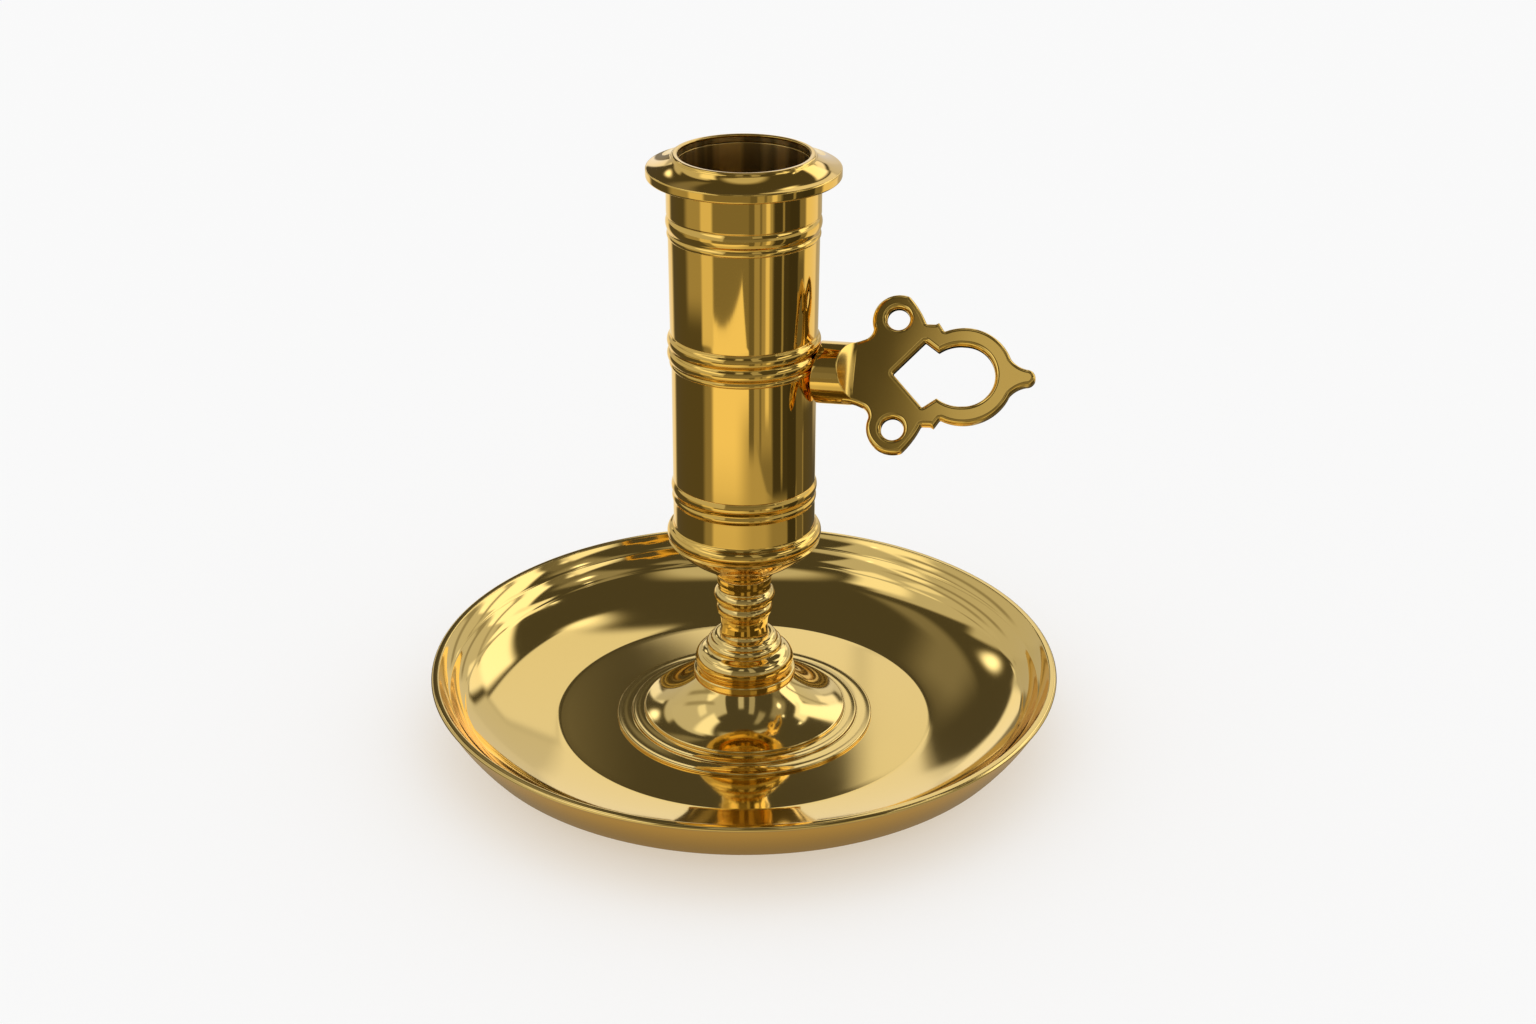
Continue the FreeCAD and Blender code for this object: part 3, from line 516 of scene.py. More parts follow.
@dataclass
class DripPan:
    """The spun pan: rest ring, sloping underside, outer wall, turned lip, inner wall and flat floor."""

    edge: float = 57.5
    depth: float = 13.5
    floor: float = 2.5
    recess: float = 7.0
    relief: float = 0.5
    relief_edge: float = 33.0
    hub: float = 8.5
    hub_rise: float = 3.2

    def strokes(self) -> list[Stroke]:
        """The pan's profile, from the nut's recess round the outside to the floor."""
        edge, depth, floor = self.edge, self.depth, self.floor
        return [
            (ROD_HOLE, 4.0),
            (self.recess, 4.0),
            (self.recess, self.relief),
            (self.relief_edge, self.relief),
            (self.relief_edge, 0.0),
            (edge - 17.0, 0.0),
            (edge - 5.5, 4.8, 0.35),
            (edge - 0.3, depth - 0.8, 0.3),
            (edge, depth - 0.6),
            (edge - 0.39, depth - 0.02, 0.09),
            (edge - 1.3, depth - 0.02),
            (edge - 1.45, depth - 0.16, 0.02),
            (edge - 3.2, depth - 2.45, -0.1),
            (edge - 3.45, depth - 2.65, 0.03),
            (edge - 5.75, floor + 5.7, -0.18),
            (edge - 6.05, floor + 5.42, 0.04),
            (edge - 13.5, floor + 2.1, -0.33),
            (edge - 23.0, floor, -0.13),
            (self.hub, floor),
            (self.hub, floor + self.hub_rise),
            (ROD_HOLE, floor + self.hub_rise),
        ]

    def build(self) -> list[bpy.types.Object]:
        """The pan's piece."""
        return [Turned("drip_pan", "brass_pan", self.strokes(), blur=0.12, stations=260, sides=360).build()]


@dataclass
class Stem:
    """Foot, ring, knop and neck, each on top of the one below."""

    floor: float = 2.5
    foot_top: float = 10.6
    ring_top: float = 12.3
    knop_top: float = 19.2
    neck_top: float = 31.2

    def foot(self) -> list[Stroke]:
        """The hollow trumpet foot with its three step rings."""
        floor = self.floor
        return [
            (23.7, floor),
            (23.7, floor + 0.28),
            (23.4, floor + 0.55, 0.09),
            (20.9, floor + 0.65, -0.09),
            (20.9, floor + 0.87),
            (20.6, floor + 1.15, 0.09),
            (18.6, floor + 1.25, -0.09),
            (18.6, floor + 1.75),
            (18.3, floor + 2.05, 0.09),
            (9.0, self.foot_top, -0.9),
            (5.5, self.foot_top),
            (5.5, self.ring_top + 1.1),
            (ROD_HOLE, self.ring_top + 1.1),
            (ROD_HOLE, self.foot_top - 2.0),
            (8.0, self.foot_top - 2.0),
            (16.6, floor, 0.9),
        ]

    def ring(self) -> list[Stroke]:
        """The flat ring."""
        return [
            (5.55, self.foot_top),
            (9.06, self.foot_top),
            (9.36, self.foot_top + 0.3, 0.09),
            (9.36, self.ring_top - 0.3),
            (9.06, self.ring_top, 0.09),
            (5.55, self.ring_top),
        ]

    def knop(self) -> list[Stroke]:
        """The knop: a full bulge, a groove and a shoulder."""
        low, tall = self.ring_top, self.knop_top - self.ring_top
        return [
            (5.55, low),
            (8.39, low),
            (8.39, low + 0.03 * tall),
            (7.28, low + 0.59 * tall, 1.15),
            (6.79, low + 0.625 * tall),
            (6.13, low + 0.86 * tall, 0.4),
            (4.7, self.knop_top, 0.4),
            (SPIGOT_SEAT, self.knop_top),
            (SPIGOT_SEAT, self.knop_top - 1.5),
            (ROD_HOLE, self.knop_top - 1.5),
            (ROD_HOLE, low + 1.2),
            (5.55, low + 1.2),
        ]

    def neck(self) -> list[Stroke]:
        """The neck with its two beads."""
        low, tall = self.knop_top, self.neck_top - self.knop_top
        return [
            (ROD_HOLE, low - 1.4),
            (SPIGOT, low - 1.4),
            (SPIGOT, low),
            (4.59, low),
            (4.31, low + 0.11 * tall, -0.07),
            (4.48, low + 0.29 * tall, -0.08),
            (4.70, low + 0.35 * tall),
            (4.76, low + 0.53 * tall, 0.39),
            (4.76, low + 0.545 * tall),
            (4.82, low + 0.78 * tall, 0.76),
            (4.93, low + 0.86 * tall, -0.06),
            (5.01, self.neck_top, -0.03),
            (SPIGOT, self.neck_top),
            (SPIGOT, self.neck_top + 1.4),
            (ROD_HOLE, self.neck_top + 1.4),
        ]

    def build(self) -> list[bpy.types.Object]:
        """The four pieces of the stem."""
        slot = "brass_stem"
        return [
            Turned("foot_dome", slot, self.foot(), stations=260).build(),
            Turned("foot_ring", slot, self.ring(), stations=90).build(),
            Turned("knop", slot, self.knop(), stations=160).build(),
            Turned("stem_neck", slot, self.neck(), stations=180, sides=256).build(),
        ]


# Candle socket

@dataclass
class CandleSocket:
    """Socket base, tube, middle band and nozzle."""

    bore: float = 11.2
    barrel: float = 12.65
    low: float = 31.2
    cup_top: float = 50.5
    band_low: float = 72.2
    band_top: float = 78.2
    collar_low: float = 95.5
    mouth: float = 109.6

    def base(self) -> list[Stroke]:
        """The socket's base: bowl, moulding, plain band, double bead, and the candle's floor inside."""
        low, cup = self.low, self.barrel + 0.02
        bowl = low + 7.8
        beads = bowl + 7.5
        return [
            (0.0, low + 6.9),
            (2.54, low + 6.9),
            (2.54, low + 1.5),
            (SPIGOT_SEAT, low + 1.5),
            (SPIGOT_SEAT, low),
            (5.01, low),
            (5.6, low + 0.7, -0.09),
            (6.16, low + 1.87, -0.13),
            (13.66, low + 7.49, 0.53),
            (cup + 0.585, bowl),
            (cup + 0.585, bowl + 2.38, 0.585),
            (cup, bowl + 3.3, -0.234),
            (cup, beads + 0.16),
            (cup, beads + 1.44, 0.2),
            (cup, beads + 1.76),
            (cup, beads + 3.84, 0.3),
            (cup, self.cup_top),
            (self.bore + 0.85, self.cup_top),
            (self.bore + 0.85, 44.4),
            (self.bore, 44.4),
            (self.bore, 43.5),
            (0.0, 43.5),
        ]

    def tube(self) -> list[Stroke]:
        """The tube, wider above the middle band."""
        bore, barrel = self.bore, self.barrel
        return [
            (bore, 44.5),
            (bore + 0.8, 44.5),
            (bore + 0.8, self.cup_top),
            (barrel, self.cup_top),
            (barrel, self.band_top),
            (barrel + 0.18, self.band_top),
            (barrel + 0.32, self.collar_low),
            (bore + 0.9, self.collar_low),
            (bore + 0.9, 108.3),
            (bore, 108.3),
        ]

    def band(self) -> list[Stroke]:
        """The middle band: two beads between fine fillets."""
        barrel, low, tall = self.barrel, self.band_low, self.band_top - self.band_low
        shares = [(0.30, 0.0, 0.0), (0.30, 0.15, 0.2), (0.40, 0.18, 0.0), (0.40, 0.52, 0.6),
                  (0.30, 0.55, 0.0), (0.40, 0.58, 0.0), (0.40, 0.93, 0.6), (0.20, 1.0, 0.0)]
        ring = [(barrel + 0.73 * out, low + tall * up, 0.73 * bow) for out, up, bow in shares]
        return [(barrel + 0.05, low), *ring, (barrel + 0.05, self.band_top)]

    def nozzle(self) -> list[Stroke]:
        """The nozzle: fillet, bead, collar, drip flange and the lip of the bore."""
        collar, low = self.barrel + 0.57, self.collar_low
        flange = low + 10.1
        return [
            (self.bore + 0.95, low),
            (collar - 0.17, low),
            (collar - 0.17, low + 0.86, 0.126),
            (collar - 0.27, low + 1.01),
            (collar - 0.21, low + 1.31),
            (collar - 0.21, low + 3.74, 0.35),
            (collar - 0.21, low + 3.94),
            (collar, low + 4.04),
            (collar, flange),
            (collar + 3.23, flange + 0.17),
            (collar + 3.38, flange + 0.42),
            (collar + 3.38, flange + 1.56),
            (collar + 3.24, flange + 1.79, 0.03),
            (self.bore + 1.2, self.mouth - 0.4, -0.24),
            (self.bore + 0.6, self.mouth + 0.09, 0.14),
            (self.bore, self.mouth),
            (self.bore, self.mouth - 1.2),
            (self.bore + 0.95, self.mouth - 1.2),
        ]

    def build(self) -> list[bpy.types.Object]:
        """The four pieces of the socket."""
        slot = "brass_socket"
        return [
            Turned("socket_base", slot, self.base(), Form.SOLID, stations=260).build(),
            Turned("barrel_tube", slot, self.tube(), blur=0.05, stations=120, sides=360).build(),
            Turned("middle_band", slot, self.band(), blur=0.06, stations=160).build(),
            Turned("nozzle", slot, self.nozzle(), blur=0.07, stations=260).build(),
        ]


# Finger loop

@dataclass
class FingerLoop:
    """The pierced plate with rounded edges, and the round stub that is cut down to it by a slope.

    In the plate's own axes x runs out along the stub, y up in the plate and z out of its front.
    """

    height: float = 71.3
    lean: float = 38.0
    turn: float = 1.8
    drop: float = 0.2
    root: float = 17.5
    front: float = 2.0
    back: float = -0.3
    front_round: float = 0.8
    back_round: float = 0.6
    stub: float = 5.45
    seat: float = 13.45
    slope_foot: float = 19.6
    slope_run: float = 2.9
    slope_hollow: float = 1.12
    lobe: tuple[float, float, float] = (9.1, 9.85, 4.4)
    eyelet: float = 1.95
    eyelet_sides: int = 96
    ring: tuple[float, float] = (20.8, 8.65)
    ring_hole: float = 5.4
    notch: tuple[float, float] = (4.4, 4.1)
    diamond: tuple[float, float] = (6.8, 5.85)
    diamond_length: float = 12.15
    tip_length: float = 3.65
    tip_radius: float = 1.5
    nib: float = 0.35
    filling_pace: float = 0.35

    def outline(self) -> list[Stroke]:
        """Outer edge of the plate, round anticlockwise from the tip, measured from its root."""
        (lobe_x, lobe_y, lobe), (ring_x, ring) = self.lobe, self.ring
        chord = math.dist((-0.42, 0.907), (0.925, 0.375)) / 2
        foot = (lobe_x + 1.12 * lobe, lobe_y - 0.17 * lobe)
        start = (ring_x - 0.42 * ring, 0.907 * ring)
        nib = foot[0] + (start[0] - foot[0]) * 0.52
        tip, tip_radius = ring_x + ring + self.tip_length, self.tip_radius
        upper = [
            (tip - tip_radius, tip_radius, tip_radius * QUARTER_BOW),
            (ring_x + 0.925 * ring, 0.375 * ring, -0.3),
            (*start, ring * (1 - math.sqrt(1 - chord * chord))),
            (nib + 1.3 * self.nib, foot[1] + self.nib),
            (nib, foot[1]),
            foot,
            (lobe_x + 0.4 * lobe, lobe_y + 0.93 * lobe, 0.06 * lobe),
            (lobe_x - 0.96 * lobe, lobe_y - 0.42 * lobe, 0.62 * lobe),
            (lobe_x * 0.36, self.stub * 1.09, -0.1 * lobe),
            (0.0, self.stub - 0.1, -0.05 * lobe),
        ]
        bows = [stroke[2] if len(stroke) > 2 else 0.0 for stroke in upper] + [0.0]
        lower = [(x, -y, bows[number + 1]) for number, (x, y, *_) in reversed(list(enumerate(upper)))]
        return [(tip, 0.0, tip_radius * QUARTER_BOW), *upper, *lower]

    def keyhole(self) -> list[Stroke]:
        """The keyhole: a diamond that opens into a round hole."""
        x, hole = self.ring[0], self.ring_hole
        (notch_in, notch), (corner_in, corner) = self.notch, self.diamond
        quarter, flank = hole * QUARTER_BOW, hole * 0.08
        return [
            (x - notch_in, notch, flank),
            (x - corner_in, corner),
            (x - self.diamond_length, 0.0),
            (x - corner_in, -corner),
            (x - notch_in, -notch),
            (x, -hole, flank),
            (x + hole, 0.0, quarter),
            (x, hole, quarter),
        ]

    def loops(self) -> list[Points]:
        """The outline, the keyhole and both eyelets, each as a closed line of close points."""
        lines = [self.outline(), self.keyhole()]
        smooth = [rounded(drawn(line, True), True, blur, 0.12) for line, blur in zip(lines, (0.14, 0.1))]
        angle = np.arange(self.eyelet_sides) * 2 * math.pi / self.eyelet_sides
        circle = self.eyelet * np.column_stack([np.cos(angle), np.sin(angle)])
        x, y, _ = self.lobe
        return [*smooth, circle + (x, y), circle + (x, -y)]

    def placed(self, flat: Points) -> Points:
        """Points of the turned plate's axes put into the row frame.

        The plate is turned about its root, moved out along the stub, leaned back about the
        stub's axis and lifted to the stub's height.

        Args:
            flat: points measured from the plate's root.

        Returns:
            The same points in the row frame.
        """
        turn = math.radians(self.turn)
        x = flat[:, 0] * math.cos(turn) - flat[:, 1] * math.sin(turn) + self.root
        y = flat[:, 0] * math.sin(turn) + flat[:, 1] * math.cos(turn) - self.drop
        return self.leaned(np.column_stack([x, y, flat[:, 2]]))

    def leaned(self, local: Points) -> Points:
        """Points of the stub's axes, leaned back about the stub's axis and lifted to its height.

        Args:
            local: points in the stub's axes.

        Returns:
            The same points in the row frame.
        """
        tilt = math.radians(90 - self.lean)
        y = local[:, 1] * math.cos(tilt) - local[:, 2] * math.sin(tilt)
        z = local[:, 1] * math.sin(tilt) + local[:, 2] * math.cos(tilt)
        return np.column_stack([local[:, 0], y, z + self.height])

    def plate(self) -> tuple[Points, Points, list[Points]]:
        """The plate's corners, normals and faces.

        The flat shape is filled with triangles between close points. The front then falls away
        towards every edge like a quarter circle: at distance d inside a rounding r it lies
        r - sqrt(r * r - (r - d) * (r - d)) below the face. The back does the same, and a wall
        joins the two edges.

        Returns:
            The corners and normals, measured from the plate's root, and the faces.
        """
        loops = self.loops()
        edge = np.vstack(loops)
        inward = np.vstack([inward_normals(line, outer=number == 0) for number, line in enumerate(loops)])
        depths = self.front_round * np.array([0.03, 0.1, 0.2, 0.33, 0.5, 0.72, 1.0, 1.25])
        rings = np.vstack([edge + inward * depth for depth in depths])
        reach = np.repeat(depths, len(edge))
        low, high = edge.min(0), edge.max(0)
        pace = self.filling_pace
        across, up = np.meshgrid(np.arange(low[0], high[0], pace), np.arange(low[1], high[1], pace))
        across = across + (np.arange(across.shape[0])[:, None] % 2) * pace / 2
        field_points = np.column_stack([across.ravel(), up.ravel()])
        ring_away = nearest(rings, edge)[0]
        field_away = nearest(field_points, edge)[0]
        rings = rings[inside(rings, loops) & (ring_away > reach * 0.97)]
        field_points = field_points[inside(field_points, loops) & (field_away > depths[-1] + pace * 0.6)]
        flat = np.vstack([edge, rings, field_points])
        triangles = filled(flat, loops)
        away, towards = nearest(flat, edge)
        towards[: len(edge)] = inward
        away[: len(edge)] = 0.0
        face = []
        for level, radius, side in ((self.front, self.front_round, 1.0), (self.back, self.back_round, -1.0)):
            left = np.clip(radius - away, 0, radius)
            fall = radius - np.sqrt(radius * radius - left * left)
            points = np.column_stack([flat, level - side * fall])
            slope = left / radius
            normal = np.column_stack([-towards * slope[:, None], side * np.sqrt(1 - slope * slope)])
            face.append((points, normal))
        points = np.vstack([face[0][0], face[1][0]])
        normals = np.vstack([face[0][1], face[1][1]])
        back = len(flat)
        walls = [np.column_stack([number + back, after + back, after, number])
                 for number, after in loop_steps(loops)]
        return points, normals, [triangles, triangles[:, ::-1] + back, *walls]

    def stub_bar(self) -> tuple[Points, list[Points]]:
        """The stub: a round bar whose front and back are sloped down to the plate's two faces.

        Each of its lines runs straight out from the seat on the band, at angle a round the
        bar. The seat is where the line meets a cylinder round the candle's axis. From where
        its height z over the bar's middle passes that of the slope, the line follows the slope,
        whose height over the plate's face is the bar's, times the share of the way left to the
        slope's foot, raised to the power slope_hollow.

        Returns:
            The bar's corners in the stub's axes, and its faces.
        """
        columns = 360
        angle = np.arange(columns) * 2 * math.pi / columns
        y, z = self.stub * np.cos(angle), self.stub * np.sin(angle)
        tilt = math.radians(90 - self.lean)
        world_y = y * math.cos(tilt) - z * math.sin(tilt)
        seat = np.sqrt(self.seat ** 2 - world_y ** 2)
        face = np.where(z > 0, self.front, self.back)
        limit = np.abs(face)
        over = np.clip((np.abs(z) - limit) / (self.stub - limit), 0, 1)
        sloped = np.abs(z) > limit
        bend = self.slope_foot - self.slope_run * np.where(sloped, over ** (1 / self.slope_hollow), 0)
        soft = 0.12
        end = self.slope_foot + 0.6
        shares = ((0.0, 0.985), (0.012, 0.997), (0.03, 1.0), (0.3, 1.0), (0.6, 1.0), (0.85, 1.0))
        rows = [(seat + (bend - soft - seat) * share, y * size, z * size) for share, size in shares]
        rows += [(bend - soft, y, z), (bend, y, z)]
        for share in (0.0, 0.12, 0.25, 0.4, 0.55, 0.7, 0.85, 1.0):
            x = bend + soft + (self.slope_foot + 0.3 - bend - soft) * share
            left = (self.slope_foot - x) / self.slope_run
            hollow = np.clip(left, 0, 1) ** self.slope_hollow + np.minimum(left, 0)
            rows.append((x, y, np.where(sloped, np.sign(z) * (limit + hollow * (self.stub - limit)), z)))
        rows.append((np.full(columns, end), y * 0.6, rows[-1][2] * 0.6))
        local = np.array(rows).transpose(0, 2, 1).reshape(-1, 3)
        points = np.vstack([local, [[float(seat.mean()), 0, 0], [end, 0, 0]]])
        return points, capped_faces(len(rows), columns)

    def build(self) -> list[bpy.types.Object]:
        """Plate and stub, two meshes that together stand for the finger plate's CAD node."""
        flat, normals, faces = self.plate()
        plate_points = self.placed(flat)
        plate_normals = self.placed(normals + flat) - plate_points
        bar, bar_faces = self.stub_bar()
        bar_points = self.leaned(bar)
        stub = mesh_of("finger_stub_formed", bar_points, bar_faces)
        plate = mesh_of("finger_plate_formed", plate_points, faces)
        plate.data.normals_split_custom_set_from_vertices(plate_normals.astype(np.float32))
        stood_for(plate, "finger_plate")
        stood_for(stub, "finger_plate")
        return [plate, stub]


def inward_normals(line: Points, outer: bool) -> Points:
    """Unit vectors into the material at each point of a closed anticlockwise line.

    Args:
        line: the closed line.
        outer: True for an outer edge, False for the edge of a hole.

    Returns:
        The way before to after each point, turned a quarter left, or right for a hole.
    """
    way = np.roll(line, -1, 0) - np.roll(line, 1, 0)
    way /= np.hypot(*way.T)[:, None]
    left = np.column_stack([-way[:, 1], way[:, 0]])
    return left if outer else -left


def nearest(points: Points, edge: Points) -> tuple[Points, Points]:
    """Distance of each point from the nearest point of an edge, and the unit vector away from it.

    Args:
        points: the points.
        edge: points close together along the edge.

    Returns:
        The distances and the unit vectors.
    """
    away, towards = np.empty(len(points)), np.empty((len(points), 2))
    for block in range(0, len(points), 1000):
        here = points[block : block + 1000]
        gap = here[:, None, :] - edge[None, :, :]
        far = (gap ** 2).sum(-1)
        pick = far.argmin(1)
        away[block : block + 1000] = np.sqrt(far[np.arange(len(here)), pick])
        towards[block : block + 1000] = gap[np.arange(len(here)), pick]
    return away, towards / np.maximum(away, 1e-9)[:, None]


def inside(points: Points, loops: list[Points]) -> Points:
    """Whether each point lies in the material: a ray from it crosses the loops an odd number of times.

    Args:
        points: the points.
        loops: the closed lines.

    Returns:
        True or False for each point.
    """
    crossings = np.zeros(len(points), int)
    for line in loops:
        after = np.roll(line, -1, 0)
        for block in range(0, len(points), 2000):
            x, y = points[block : block + 2000, :1], points[block : block + 2000, 1:]
            spans = (line[:, 1] > y) != (after[:, 1] > y)
            with np.errstate(divide="ignore", invalid="ignore"):
                at = line[:, 0] + (y - line[:, 1]) * (after[:, 0] - line[:, 0]) / (after[:, 1] - line[:, 1])
            crossings[block : block + 2000] += (spans & (x < at)).sum(1)
    return crossings % 2 == 1


def filled(flat: Points, loops: list[Points]) -> Points:
    """Triangles between flat points, inside the loops that their first points make.

    Args:
        flat: the points, those of the loops first and in the loops' order.
        loops: the closed lines.

    Returns:
        Triangles of point numbers, wound anticlockwise.
    """
    edges = np.vstack([np.column_stack(pair) for pair in loop_steps(loops)]).tolist()
    found = delaunay_2d_cdt([Vector(point) for point in flat.tolist()], edges, [], 0, 1e-6)
    origin = np.array([source[0] if source else -1 for source in found[3]])
    triangles = origin[np.array(found[2])]
    triangles = triangles[(triangles >= 0).all(1)]
    centre = flat[triangles].mean(1)
    triangles = triangles[inside(centre, loops)]
    a, b, c = (flat[triangles[:, corner]] for corner in range(3))
    turn = (b - a)[:, 0] * (c - a)[:, 1] - (b - a)[:, 1] * (c - a)[:, 0]
    triangles[turn < 0] = triangles[turn < 0][:, ::-1]
    return triangles


# Studio

@dataclass(frozen=True)
class Patch:
    """A lit or dark part of the surroundings, between two bearings and two heights.

    Bearings are degrees from the front, -Y, and count up towards the right, +X. Heights are
    degrees above the horizon on the dome, and millimetres from the axis on the floor. A slant
    lifts both heights for each degree of bearing past the middle.
    """

    start: float
    end: float
    low: float
    high: float
    strength: float
    soft: float = 2.0
    soft_height: float = 2.0
    slant: float = 0.0

    def cover(self, bearing: Points, height: Points) -> Points:
        """How much the patch covers each place: a smooth step in at each edge, multiplied.

        Args:
            bearing: bearings of the places.
            height: heights of the places.

        Returns:
            Numbers from 0 to 1, one for each place.
        """
        half = (self.end - self.start) / 2
        off = (bearing - self.start - half + 180) % 360 - 180
        level = height - self.slant * off
        across = smooth_step((half - np.abs(off)) / self.soft + 0.5)
        upward = smooth_step((level - self.low) / self.soft_height + 0.5)
        return across * upward * smooth_step((self.high - level) / self.soft_height + 0.5)


@dataclass(frozen=True)
class OffSheet:
    """The darker table beyond two edges of the white sheet that the object stands on.

    Each edge is a bearing that it faces and its distance from the object's axis.
    """

    first: tuple[float, float]
    second: tuple[float, float]
    strength: float
    soft: float = 4.0

    def cover(self, bearing: Points, height: Points) -> Points:
        """How much of each place lies off the sheet: the larger of its steps past the two edges."""
        edges = (self.first, self.second)
        past = [height * np.cos(np.radians(bearing - faces)) - away for faces, away in edges]
        return smooth_step(np.maximum(*past) / self.soft + 0.5)


@dataclass(frozen=True)
class Lamp:
    """A small round lamp on the dome."""

    bearing: float
    height: float
    radius: float
    strength: float

    def cover(self, bearing: Points, height: Points) -> Points:
        """How much the lamp covers each place, from its distance in degrees over the lamp's radius."""
        across = ((bearing - self.bearing + 180) % 360 - 180) * np.cos(np.radians(self.height))
        return np.exp(-((across ** 2 + (height - self.height) ** 2) / self.radius ** 2) ** 1.5)


Part = Patch | OffSheet | Lamp


def smooth_step(share: Points) -> Points:
    """0 below 0, 1 above 1, and 3 * s * s - 2 * s * s * s between."""
    share = np.clip(share, 0, 1)
    return share * share * (3 - 2 * share)


@dataclass
class Surroundings:
    """What the polished brass shows of the room: a dome over the table, and the table round the pan."""

    room: float = 0.08
    table: float = 1.04
    daylight: tuple[float, float, float] = (1.0, 1.03, 1.14)
    tabletop: tuple[float, float, float] = (1.0, 0.92, 0.7)
    dim: tuple[float, float, float] = (1.0, 0.93, 0.72)
    bright_from: float = 0.6
    reach: float = 2500.0
    columns: int = 720
    dome_rows: int = 181
    dome_heights: tuple[float, float] = (-2, 89.99)
    table_rows: int = 240
    table_reach: tuple[float, float] = (42, 2400)
    table_lift: float = 0.05
    dome_parts: tuple[Part, ...] = (
        # white backdrop behind
        Patch(92, 200, -20, 16, 0.74, 3, 3),
        Patch(194, 222, -20, 10, 0.26, 4, 4),
        Patch(194, 220, 11, 19, 1.05, 3, 2, 0.45),
        # walls low down in front and at the sides
        Patch(-72, -20, -20, 20, 0.48, 12, 6),
        Patch(-26, 52, -20, 22, 0.25, 12, 6),
        Patch(45, 104, -20, 17, 0.46, 8, 3),
        Patch(-20, 24, 20, 40, 0.2, 8, 8),
        # wide window on the left
        Patch(-137, -20, -2, 42, 0.58, 3, 4),
        Patch(-148, -133, -2, 22, 0.55, 4, 4),
        Patch(-130, -40, 30, 64, 0.6, 3, 4),
        Patch(-124, -70, 58, 69, 1.15, 8, 4),
        Patch(-97, -83, 42, 54, 1.0, 6, 4),
        Patch(-80, -24, 27, 40, 1.2, 8, 4, -0.15),
        Patch(-118, -62, 27, 31, 0.32, 12, 3, 0.28),
        Patch(-116, -66, 38, 42, 0.36, 12, 3, 0.3),
        # narrow window in front
        Patch(23, 38, 28, 68, 0.42, 1.5, 3),
        # ceiling light that the finger loop catches
        Patch(-6.5, 8, 46, 62, 0.56, 5, 4),
        # soft light on the flange's front
        Patch(196, 222, 41, 50, 0.24, 6, 6, 1.0),
        # dim things on the right
        Patch(52, 70, 63, 78, 0.35, 6, 6),
        Patch(82, 107, 40, 64, 0.32, 8, 8),
        Patch(84, 100, 26, 40, 0.2, 6, 6),
        # light that the slope of the finger loop catches
        Patch(64, 87, 25, 36, 1.25, 4, 3),
        # wide softbox behind on the right
        Patch(100, 135, 12, 37, 1.5, 4, 3, 0.3),
        Patch(124, 141, 34, 50, 1.2, 4, 4),
        Patch(133, 162, -4, 30, 0.65, 3, 3),
        Patch(156, 169, 17, 29, 1.15, 3, 3),
        Patch(130, 171, 29, 41, 1.5, 4, 3, -0.2),
        Patch(172, 187, 14, 24, 0.68, 2, 3),
        Patch(173.5, 186, 24, 46, 0.9, 0.8, 3),
        Patch(186, 193.4, 5, 29, 0.95, 1.0, 1.5, -0.45),
        # bars across the softbox and the backdrop
        Patch(108, 160, 22, 24.5, 0.45, 6, 1.5, 0.1),
        Patch(110, 160, 10, 13, 0.35, 6, 1.5, -0.12),
        # bright ceiling high up behind
        Patch(110, 250, 74, 95, 0.6, 24, 8),
        # lamps
        Lamp(94.5, 48, 2.6, 2.4),
        Lamp(175, 48, 2.5, 1.5),
        Lamp(-145, 33, 3.4, 1.8),
        Lamp(89, 32, 2.0, 1.3),
        Lamp(-48, 38, 1.2, 2.0),
        Lamp(108, 56, 1.2, 2.0),
        Lamp(138, 52, 1.2, 2.0),
        Lamp(60, 20, 1.5, 2.0),
    )
    table_parts: tuple[Part, ...] = (
        # the sheet's own shading
        Patch(-60, 20, 60, 130, 0.72, 20, 60),
        Patch(8, 90, 0, 175, 0.5, 30, 40),
        Patch(48, 90, 0, 150, 0.32, 16, 40),
        Patch(-128, -43, 0, 2000, 0.1, 14, 30),
        Patch(-54, -40, 60, 205, 0.3, 8, 40),
        # the table beyond the sheet
        OffSheet((71.4, 114.2), (-22.9, 226.6), 0.24),
        Patch(-84, -52, 235, 2000, 0.4, 12, 30),
        Patch(-56, -37, 205, 2000, 0.8, 5, 20),
        Patch(17, 25, 150, 2000, 0.16, 2, 20),
        Patch(25, 52, 150, 2000, 0.4, 2, 20),
        Patch(33, 36, 150, 2000, 0.2, 2, 20),
        Patch(42, 48, 170, 2000, 0.9, 3, 20),
        Patch(54, 98, 120, 2000, 0.06, 4, 16),
        Patch(68, 71, 130, 2000, 0.35, 2, 20),
        Patch(80, 98, 0, 2000, 0.05, 4, 20),
        Patch(98, 114, 0, 285, 0.15, 4, 40),
        Patch(114, 170, 0, 185, 0.1, 6, 40),
        Patch(112, 150, 185, 2000, 0.95, 6, 40),
        Patch(148, 180, 150, 2000, 0.5, 8, 60),
        Patch(-180, -130, 0, 2000, 0.95, 3, 20),
        # the pan's own shadow
        Patch(-190, 190, 0, 72, 0.55, 2, 16),
        Patch(-190, 190, 0, 56, 0.28, 2, 12),
    )

    def shade(self, parts: tuple[Part, ...], ground: float, bearing: Points, height: Points) -> Points:
        """Brightness of each place: each part in turn covers what lies under it.

        Args:
            parts: the parts, from the first laid to the last.
            ground: brightness where no part lies.
            bearing: bearings of the places.
            height: heights of the places.

        Returns:
            Brightness, where 1 is white.
        """
        total = np.full(np.broadcast(bearing, height).shape, float(ground))
        for part in parts:
            cover = part.cover(bearing, height)
            total = total * (1 - cover) + part.strength * cover
        return total

